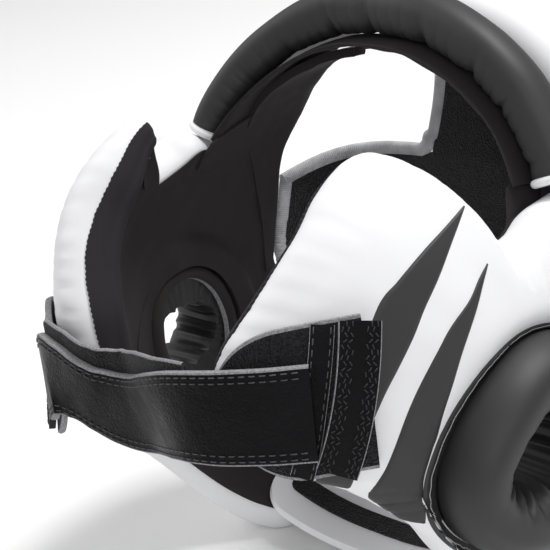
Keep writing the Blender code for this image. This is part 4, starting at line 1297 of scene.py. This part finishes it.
def brow_edge(sideways):
    """The head form's point at the brow band's top edge, at a distance to the left."""
    band = band_stations(BROW_LINE, 120, 0.0)
    at = int(np.argmin(np.abs(band.centre[:, 0] - sideways)))
    top = BROW_BAND_RISE * float(brow_value("top", at / 119.0))
    return band.centre[at] - band.across[at] * (top - 0.002)


def strap_share(forward):
    """How far the crown strap has run from the crown band to the brow, from 0 to 1."""
    foot = CROWN_BAND_FORWARD + CROWN_BAND_WIDTH / 2.0
    reach = brow_edge(CROWN_STRAP_SHIFT + CROWN_STRAP_LEAN)[2] - foot
    return np.clip((forward - foot) / reach, 0.0, 1.0)


def strap_climb(turn, rise):
    """How far the crown strap stands off as it climbs onto the brow band."""
    return STRAP_CLIMB * strap_share(form_point(turn, rise)[..., 2])


def crown_strap_line(offset, count):
    """Places of a line of the crown strap from the brow band over the crown to the nape strap."""
    top = brow_edge(offset + CROWN_STRAP_SHIFT + CROWN_STRAP_LEAN)
    first = math.degrees(math.atan2(top[1] / CROWN_RISE, top[2] / FACE_REACH))
    last = 180.0 - math.degrees(math.asin((NAPE_STRAP_WIDTH / 2.0 - 0.001) / CROWN_RISE))
    angles = np.linspace(first, last, count)
    sideways = np.full(count, offset + CROWN_STRAP_SHIFT)
    for _ in range(3):
        turn, rise = down_crown(angles, sideways)
        lean = CROWN_STRAP_LEAN * strap_share(form_point(turn, rise)[:, 2])
        sideways = offset + CROWN_STRAP_SHIFT + lean
    return down_crown(angles, sideways)


def crown_sheet(name, places, low, nodes):
    """A flat part of the crown cross, dark on its inner face and pale on its outer one."""
    turn, rise = places
    points = two_faced(lift(turn, rise, low), lift(turn, rise, low + CROWN_THICKNESS))
    rows, columns = turn.shape
    paint = np.zeros((rows - 1, 2 * columns))
    paint[:, columns:] = 1
    piece = grid_piece(name, to_world(points), ["loop_pile", "white_leather"], paint=paint)
    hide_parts(*nodes)


def corner_line(side, face_side):
    """The bound edge that runs along the crown band, round a corner and down the crown strap."""
    towards = 1.0 if face_side else -1.0
    forward = CROWN_BAND_FORWARD + towards * CROWN_BAND_WIDTH / 2.0
    angles = np.linspace(crown_start(forward, side), 90.0, 200)
    band = form_point(*over_crown(angles if side > 0 else 180.0 - angles, forward))
    corner = side * CROWN_STRAP_WIDTH / 2.0 + CROWN_STRAP_SHIFT
    band = band[side * (band[:, 0] - corner) > CORNER_RADIUS]
    strap = form_point(*crown_strap_line(side * CROWN_STRAP_WIDTH / 2.0, 400))
    strap = strap[towards * (strap[:, 2] - forward) > CORNER_RADIUS]
    strap = strap[::-1] if face_side else strap
    angle = np.linspace(0.0, math.pi / 2.0, 12)[1:-1]
    bend = np.stack([
        corner + side * CORNER_RADIUS * (1.0 - np.sin(angle)),
        np.full(len(angle), CROWN_RISE),
        forward + towards * CORNER_RADIUS * (1.0 - np.cos(angle)),
    ], -1)
    return smooth_line(np.concatenate([band, bend, strap]), 150)


def make_crown():
    """The two sheets of the cross over the crown: the band and the strap."""
    spread = np.linspace(-0.5, 0.5, 13)
    forwards = CROWN_BAND_FORWARD + spread * (CROWN_BAND_WIDTH - 2.0 * SHEET_INSET)
    band = np.array([crown_band_line(forward, 90) for forward in forwards]).transpose(1, 2, 0)
    offsets = spread * (CROWN_STRAP_WIDTH - 2.0 * SHEET_INSET)
    strap = np.array([crown_strap_line(offset, 150) for offset in offsets]).transpose(1, 2, 0)
    crown_sheet("crown_band_skin", band, 0.0003, ("crown_band", "crown_band_panel"))
    crown_sheet("crown_strap_skin", strap, 0.0005 + strap_climb(*strap),
                ("crown_strap_front", "crown_strap_back", "crown_strap_panel_front",
                 "crown_strap_panel_back"))


def crown_binding(name, turn, rise, height, tall):
    """Tape bound round an edge of the crown cross."""
    wide = bpy.context.scene.headgear_sizes.binding / 2.0
    piece = tube_piece(name, to_world(lift(turn, rise, height)), turned(form_normal(turn, rise)),
                       wide, tall, "binding_tape")


def make_crown_bindings(side, word):
    """The bound edges of the crown cross on one side."""
    for face_side, end in ((True, "front"), (False, "back")):
        line = corner_line(side, face_side)
        turn, rise = place_of(line)
        climb = strap_climb(turn, rise) * (np.abs(line[:, 0]) < CROWN_STRAP_WIDTH)
        crown_binding("binding_" + end + "_" + word, turn, rise, 0.0015 + climb, 0.0022)
    forwards = CROWN_BAND_FORWARD + np.linspace(-0.5, 0.5, 40) * (CROWN_BAND_WIDTH + 0.003)
    angles = np.array([crown_start(forward, side) + 1.0 for forward in forwards])
    turn, rise = over_crown(angles if side > 0 else 180.0 - angles, forwards)
    crown_binding("binding_end_" + word, turn, rise, 0.0015, 0.0023)


def make_nape_strap():
    """The closing strap inside the guards' back ends, with its dark stripe on its inner face."""
    first, last = NAPE_STRAP_ENDS
    piece, _ = strap_piece(
        "leather_nape_strap", (first, last), count=120, width=NAPE_STRAP_WIDTH, foot=-0.0052,
        thickness=0.0040, finishes=["white_leather", "white_leather"], height=NAPE_STRAP_LEVEL,
        end_round=(NAPE_STRAP_WIDTH / 2.0, NAPE_STRAP_WIDTH / 2.0), sides=13)
    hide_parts("nape_strap")
    inner = (Place(first.turn + 5.0, first.rise + 0.9), Place(last.turn - 5.0, last.rise + 0.9))
    stripe, _ = strap_piece(
        "nape_strap_stripe", inner, count=110, width=NAPE_STRIPE_WIDTH, foot=-0.0062,
        thickness=0.0016, finishes=["loop_pile", "loop_pile"], height=NAPE_STRAP_LEVEL,
        end_round=(NAPE_STRIPE_WIDTH / 2.0, NAPE_STRIPE_WIDTH / 2.0))
    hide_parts("nape_stripe")


def make_chin_strap():
    """The leather chin strap with cut edges and two rows of stitches along each edge."""
    thickness = bpy.context.scene.headgear_sizes.strap
    count = 220
    turn, rise, dip = smooth_line(CHIN_LINE, count).T
    centre = lift(turn, rise, TAB_TOP + STRAP_GAP - dip)
    along = unit(np.gradient(centre, axis=0))
    across = unit(np.cross(form_normal(turn, rise), along))
    band = Band(centre, along, unit(np.cross(along, across)), across)
    steps = np.arange(count)
    drawn_in = np.interp(steps, CHIN_NARROW_STEPS, CHIN_NARROWING)
    piece = flat_strap("leather_chin_strap", band, drawn_in / 2.0, CHIN_STRAP_WIDTH - drawn_in, 0.0,
                       thickness, ["strap_leather", "raw_edge"])
    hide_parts("chin_strap")
    part = slice(40, 196)
    under = Band(*(values[part] for values in band))
    shift = np.interp(steps[part], BACKING_STEPS, BACKING_SHIFT)
    backing = flat_strap("brushed_chin_backing", under, shift, CHIN_STRAP_WIDTH - 0.003, -0.0020,
                         0.0017, ["loop_pile", "raw_edge"])
    runs = []
    for inset in (0.0018, 0.0038):
        for hand in (-1.0, 1.0):
            offset = hand * (CHIN_STRAP_WIDTH / 2.0 - inset) + drawn_in * (hand < 0.0)
            points = to_world(centre + across * offset[:, None] + band.out * thickness)
            runs.append((points[2:-2], turned(band.out)[2:-2]))
    stitching = stitches(runs, "chin_strap_stitching", "strap_thread")


def flat_strap(name, band, shift, width, foot, thickness, finishes):
    """A strap that is flat across its width, shifted sideways and raised off its stations."""
    sides = 15
    columns = []
    for offset, height in strap_section(CHIN_STRAP_WIDTH, thickness, sides, 0.0008):
        sideways = shift + offset / CHIN_STRAP_WIDTH * width
        columns.append(band.centre + band.across * sideways[:, None] + band.out * (foot + height))
    points = np.array(columns).transpose(1, 0, 2)
    return grid_piece(name, to_world(points), finishes,
                      paint=edge_paint(len(points) - 1, sides))


def make_strap_end():
    """The stitched leather band on the left tab, beside its anchor."""
    foot, thickness = TAB_TOP + 0.0001, 0.0007
    piece, band = strap_piece("strap_end_band", STRAP_END_LINE, 60, 0.0078, foot, thickness,
                              ["strap_leather", "raw_edge"], foot)
    runs = [run_on_top(band, offset, foot, thickness) for offset in (-0.0027, 0.0027)]
    stitching = stitches(runs, "strap_end_stitching", "strap_thread")


def make_tab(side, word):
    """The brushed tab sewn to a cheek, with its round end and cut edge."""
    piece, _ = strap_piece(
        "brushed_tab_" + word, LEFT_TAB_LINE if side > 0 else RIGHT_TAB_LINE, count=80,
        width=CHIN_TAB_WIDTH, foot=TAB_FOOT, thickness=TAB_TOP - TAB_FOOT,
        finishes=["loop_pile", "raw_edge"], height=TAB_TOP, end_round=(0.0, CHIN_TAB_WIDTH / 2.0),
        sides=21)
    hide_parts("chin_tab_" + word)


def make_anchor(side, word):
    """The stitched patch that holds a tab, with two rows of zigzag stitches."""
    foot = TAB_TOP + STRAP_GAP
    places = LEFT_ANCHOR_ENDS if side > 0 else RIGHT_ANCHOR_ENDS
    ends = np.array([lift(*place, foot) for place in places])
    middle = lift(*np.array(places).mean(axis=0), foot)
    reach = unit(ends[1] - ends[0]) * (ANCHOR_LENGTH / 2.0)
    turn, rise = place_under(np.array([middle - reach, middle + reach]), foot)
    span = [Place(float(t), float(r)) for t, r in zip(turn, rise)]
    count = 50
    piece, band = strap_piece("anchor_patch_" + word, span, count, ANCHOR_WIDTH, foot, ANCHOR_THICKNESS,
                              ["strap_leather", "raw_edge"], foot, sides=11)
    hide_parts("anchor_" + word)
    wave = 0.0007 * np.sign(np.sin(np.arange(count) * 1.6))
    runs = [
        run_on_top(band, hand * (ANCHOR_WIDTH / 2.0 - inset) + wave, foot, ANCHOR_THICKNESS)
        for hand in (-1.0, 1.0) for inset in (0.0020, 0.0038)
    ]
    stitching = stitches(runs, "anchor_stitching_" + word, "dark_thread", length=0.0018, gap=0.0005)


class PieceOperator(bpy.types.Operator):
    """Common ground of the operators that make a piece."""

    bl_options = {"REGISTER", "UNDO"}

    def execute(self, context):
        self.make()
        return {"FINISHED"}


def both_sides(maker):
    """Make a piece on the left and on the right."""
    for side, word in ((1, "left"), (-1, "right")):
        maker(side, word)


class HEADGEAR_OT_guards(PieceOperator):
    """Make the two padded guards"""

    bl_idname = "headgear.guards"
    bl_label = "Guards"

    def make(self):
        both_sides(make_guard)


class HEADGEAR_OT_linings(PieceOperator):
    """Make the suede linings, the cheeks' mesh facings and the rims of the ear tunnels"""

    bl_idname = "headgear.linings"
    bl_label = "Linings and facings"

    def make(self):
        both_sides(make_lining)
        both_sides(make_facing)
        both_sides(make_ear_rim)


class HEADGEAR_OT_ear_rolls(PieceOperator):
    """Make the stuffed ear rolls"""

    bl_idname = "headgear.ear_rolls"
    bl_label = "Ear rolls"

    def make(self):
        both_sides(make_ear_roll)


class HEADGEAR_OT_stripes(PieceOperator):
    """Lay the black stripes on the cheeks"""

    bl_idname = "headgear.stripes"
    bl_label = "Stripes"

    def make(self):
        for side, word in ((1, "left"), (-1, "right")):
            tree = surface_of(bpy.data.objects["padded_guard_" + word])
            for edges, name in ((STRIPE_FRONT, "front_stripe_"), (STRIPE_BACK, "back_stripe_")):
                stripe_patch(tree, edges, side, name + word)
            make_ear_seam(tree, side, word)


class HEADGEAR_OT_brow(PieceOperator):
    """Make the brow roll, its piping, its lining and the forehead padding"""

    bl_idname = "headgear.brow"
    bl_label = "Brow"

    def make(self):
        make_brow_roll()
        both_sides(make_piping)
        make_brow_lining()
        both_sides(make_lining_join)
        make_temple_padding()
        make_notch_edging()
        make_forehead_pad()


class HEADGEAR_OT_crown(PieceOperator):
    """Make the crown cross and the nape strap"""

    bl_idname = "headgear.crown"
    bl_label = "Crown cross and nape strap"

    def make(self):
        make_crown()
        both_sides(make_crown_bindings)
        make_nape_strap()


class HEADGEAR_OT_chin(PieceOperator):
    """Make the chin strap, its tabs and their anchors"""

    bl_idname = "headgear.chin"
    bl_label = "Chin strap and tabs"

    def make(self):
        both_sides(make_tab)
        make_chin_strap()
        make_strap_end()
        both_sides(make_anchor)


class HEADGEAR_OT_stage(PieceOperator):
    """Lay the floor and place the lights and the camera"""

    bl_idname = "headgear.stage"
    bl_label = "Stage"

    def make(self):
        make_floor()
        make_lights()
        make_camera()


def make_floor():
    mesh = bpy.data.meshes.new("floor")
    corners = [(-1, -1), (1, -1), (1, 1), (-1, 1)]
    mesh.from_pydata([(FLOOR_REACH * x, FLOOR_REACH * y, 0.0) for x, y in corners], [], [(0, 1, 2, 3)])
    material, _ = new_material("floor_paper", bpy.context.scene.headgear_colours.floor, 0.9,
                               Specular_IOR_Level=0.1)
    mesh.materials.append(material)
    floor = bpy.data.objects.new("floor", mesh)
    bpy.context.scene.collection.objects.link(floor)


FLOOR_REACH = 6.0
WORLD_LIGHT = 0.47
SoftLight = namedtuple("SoftLight", "name place size power")
LIGHTS = (
    SoftLight("key", (0.30, 0.55, 1.45), 0.45, 17.0),
    SoftLight("fill", (-1.3, -0.3, 1.0), 1.2, 5.8),
    SoftLight("front", (1.1, -0.9, 1.0), 0.6, 4.0),
)


def make_lights():
    target = Vector((0.0, 0.0, 0.10))
    for light in LIGHTS:
        lamp = bpy.data.lights.new(light.name, "AREA")
        lamp.size = light.size
        lamp.energy = light.power
        holder = bpy.data.objects.new(light.name, lamp)
        holder.location = light.place
        holder.rotation_euler = (target - Vector(light.place)).to_track_quat("-Z", "Y").to_euler()
        bpy.context.scene.collection.objects.link(holder)
    world = bpy.data.worlds.new("studio")
    world.use_nodes = True
    world.node_tree.nodes["Background"].inputs["Color"].default_value = (1.0, 1.0, 1.0, 1.0)
    world.node_tree.nodes["Background"].inputs["Strength"].default_value = WORLD_LIGHT
    bpy.context.scene.world = world
    bpy.context.scene.view_settings.view_transform = "Standard"


def make_camera():
    """The camera at the photo's angle, from its place in the head frame."""
    right = CAMERA_RIGHT.normalized()
    up = (CAMERA_UP - right * CAMERA_UP.dot(right)).normalized()
    back = right.cross(up)
    centre = right * CAMERA_SIDEWAYS + up * CAMERA_RAISED + back * CAMERA_AWAY
    pose = Matrix((
        (right.x, up.x, back.x, centre.x),
        (right.y, up.y, back.y, centre.y),
        (right.z, up.z, back.z, centre.z),
        (0.0, 0.0, 0.0, 1.0),
    ))
    lying = Matrix.Translation(Vector(HEAD_AT)) @ Matrix.Rotation(LYING_TILT, 4, "X")
    camera = bpy.data.objects.new("camera", bpy.data.cameras.new("camera"))
    camera.data.lens = CAMERA_LENS
    camera.data.sensor_width = CAMERA_SENSOR
    camera.matrix_world = lying @ pose
    bpy.context.scene.collection.objects.link(camera)
    bpy.context.scene.camera = camera


STEPS = (
    HEADGEAR_OT_guards, HEADGEAR_OT_linings, HEADGEAR_OT_ear_rolls, HEADGEAR_OT_stripes, HEADGEAR_OT_brow,
    HEADGEAR_OT_crown, HEADGEAR_OT_chin, HEADGEAR_OT_stage,
)


class HEADGEAR_PT_panel(bpy.types.Panel):
    """The pieces of the headgear and their sizes and colours."""

    bl_idname = "HEADGEAR_PT_panel"
    bl_label = "Headgear"
    bl_space_type = "VIEW_3D"
    bl_region_type = "UI"
    bl_category = "Headgear"

    def draw(self, context):
        for group in (context.scene.headgear_sizes, context.scene.headgear_colours):
            for name in group.__annotations__:
                self.layout.prop(group, name)
        for step in STEPS:
            self.layout.operator(step.bl_idname)


CLASSES = (HeadgearSizes, HeadgearColours, *STEPS, HEADGEAR_PT_panel)


def register():
    for kind in CLASSES:
        bpy.utils.register_class(kind)
    bpy.types.Scene.headgear_sizes = PointerProperty(type=HeadgearSizes)
    bpy.types.Scene.headgear_colours = PointerProperty(type=HeadgearColours)


def unregister():
    del bpy.types.Scene.headgear_colours
    del bpy.types.Scene.headgear_sizes
    for kind in reversed(CLASSES):
        bpy.utils.unregister_class(kind)


def main():
    register()
    for step in STEPS:
        group, name = step.bl_idname.split(".")
        getattr(getattr(bpy.ops, group), name)()


if __name__ == "__main__":
    main()
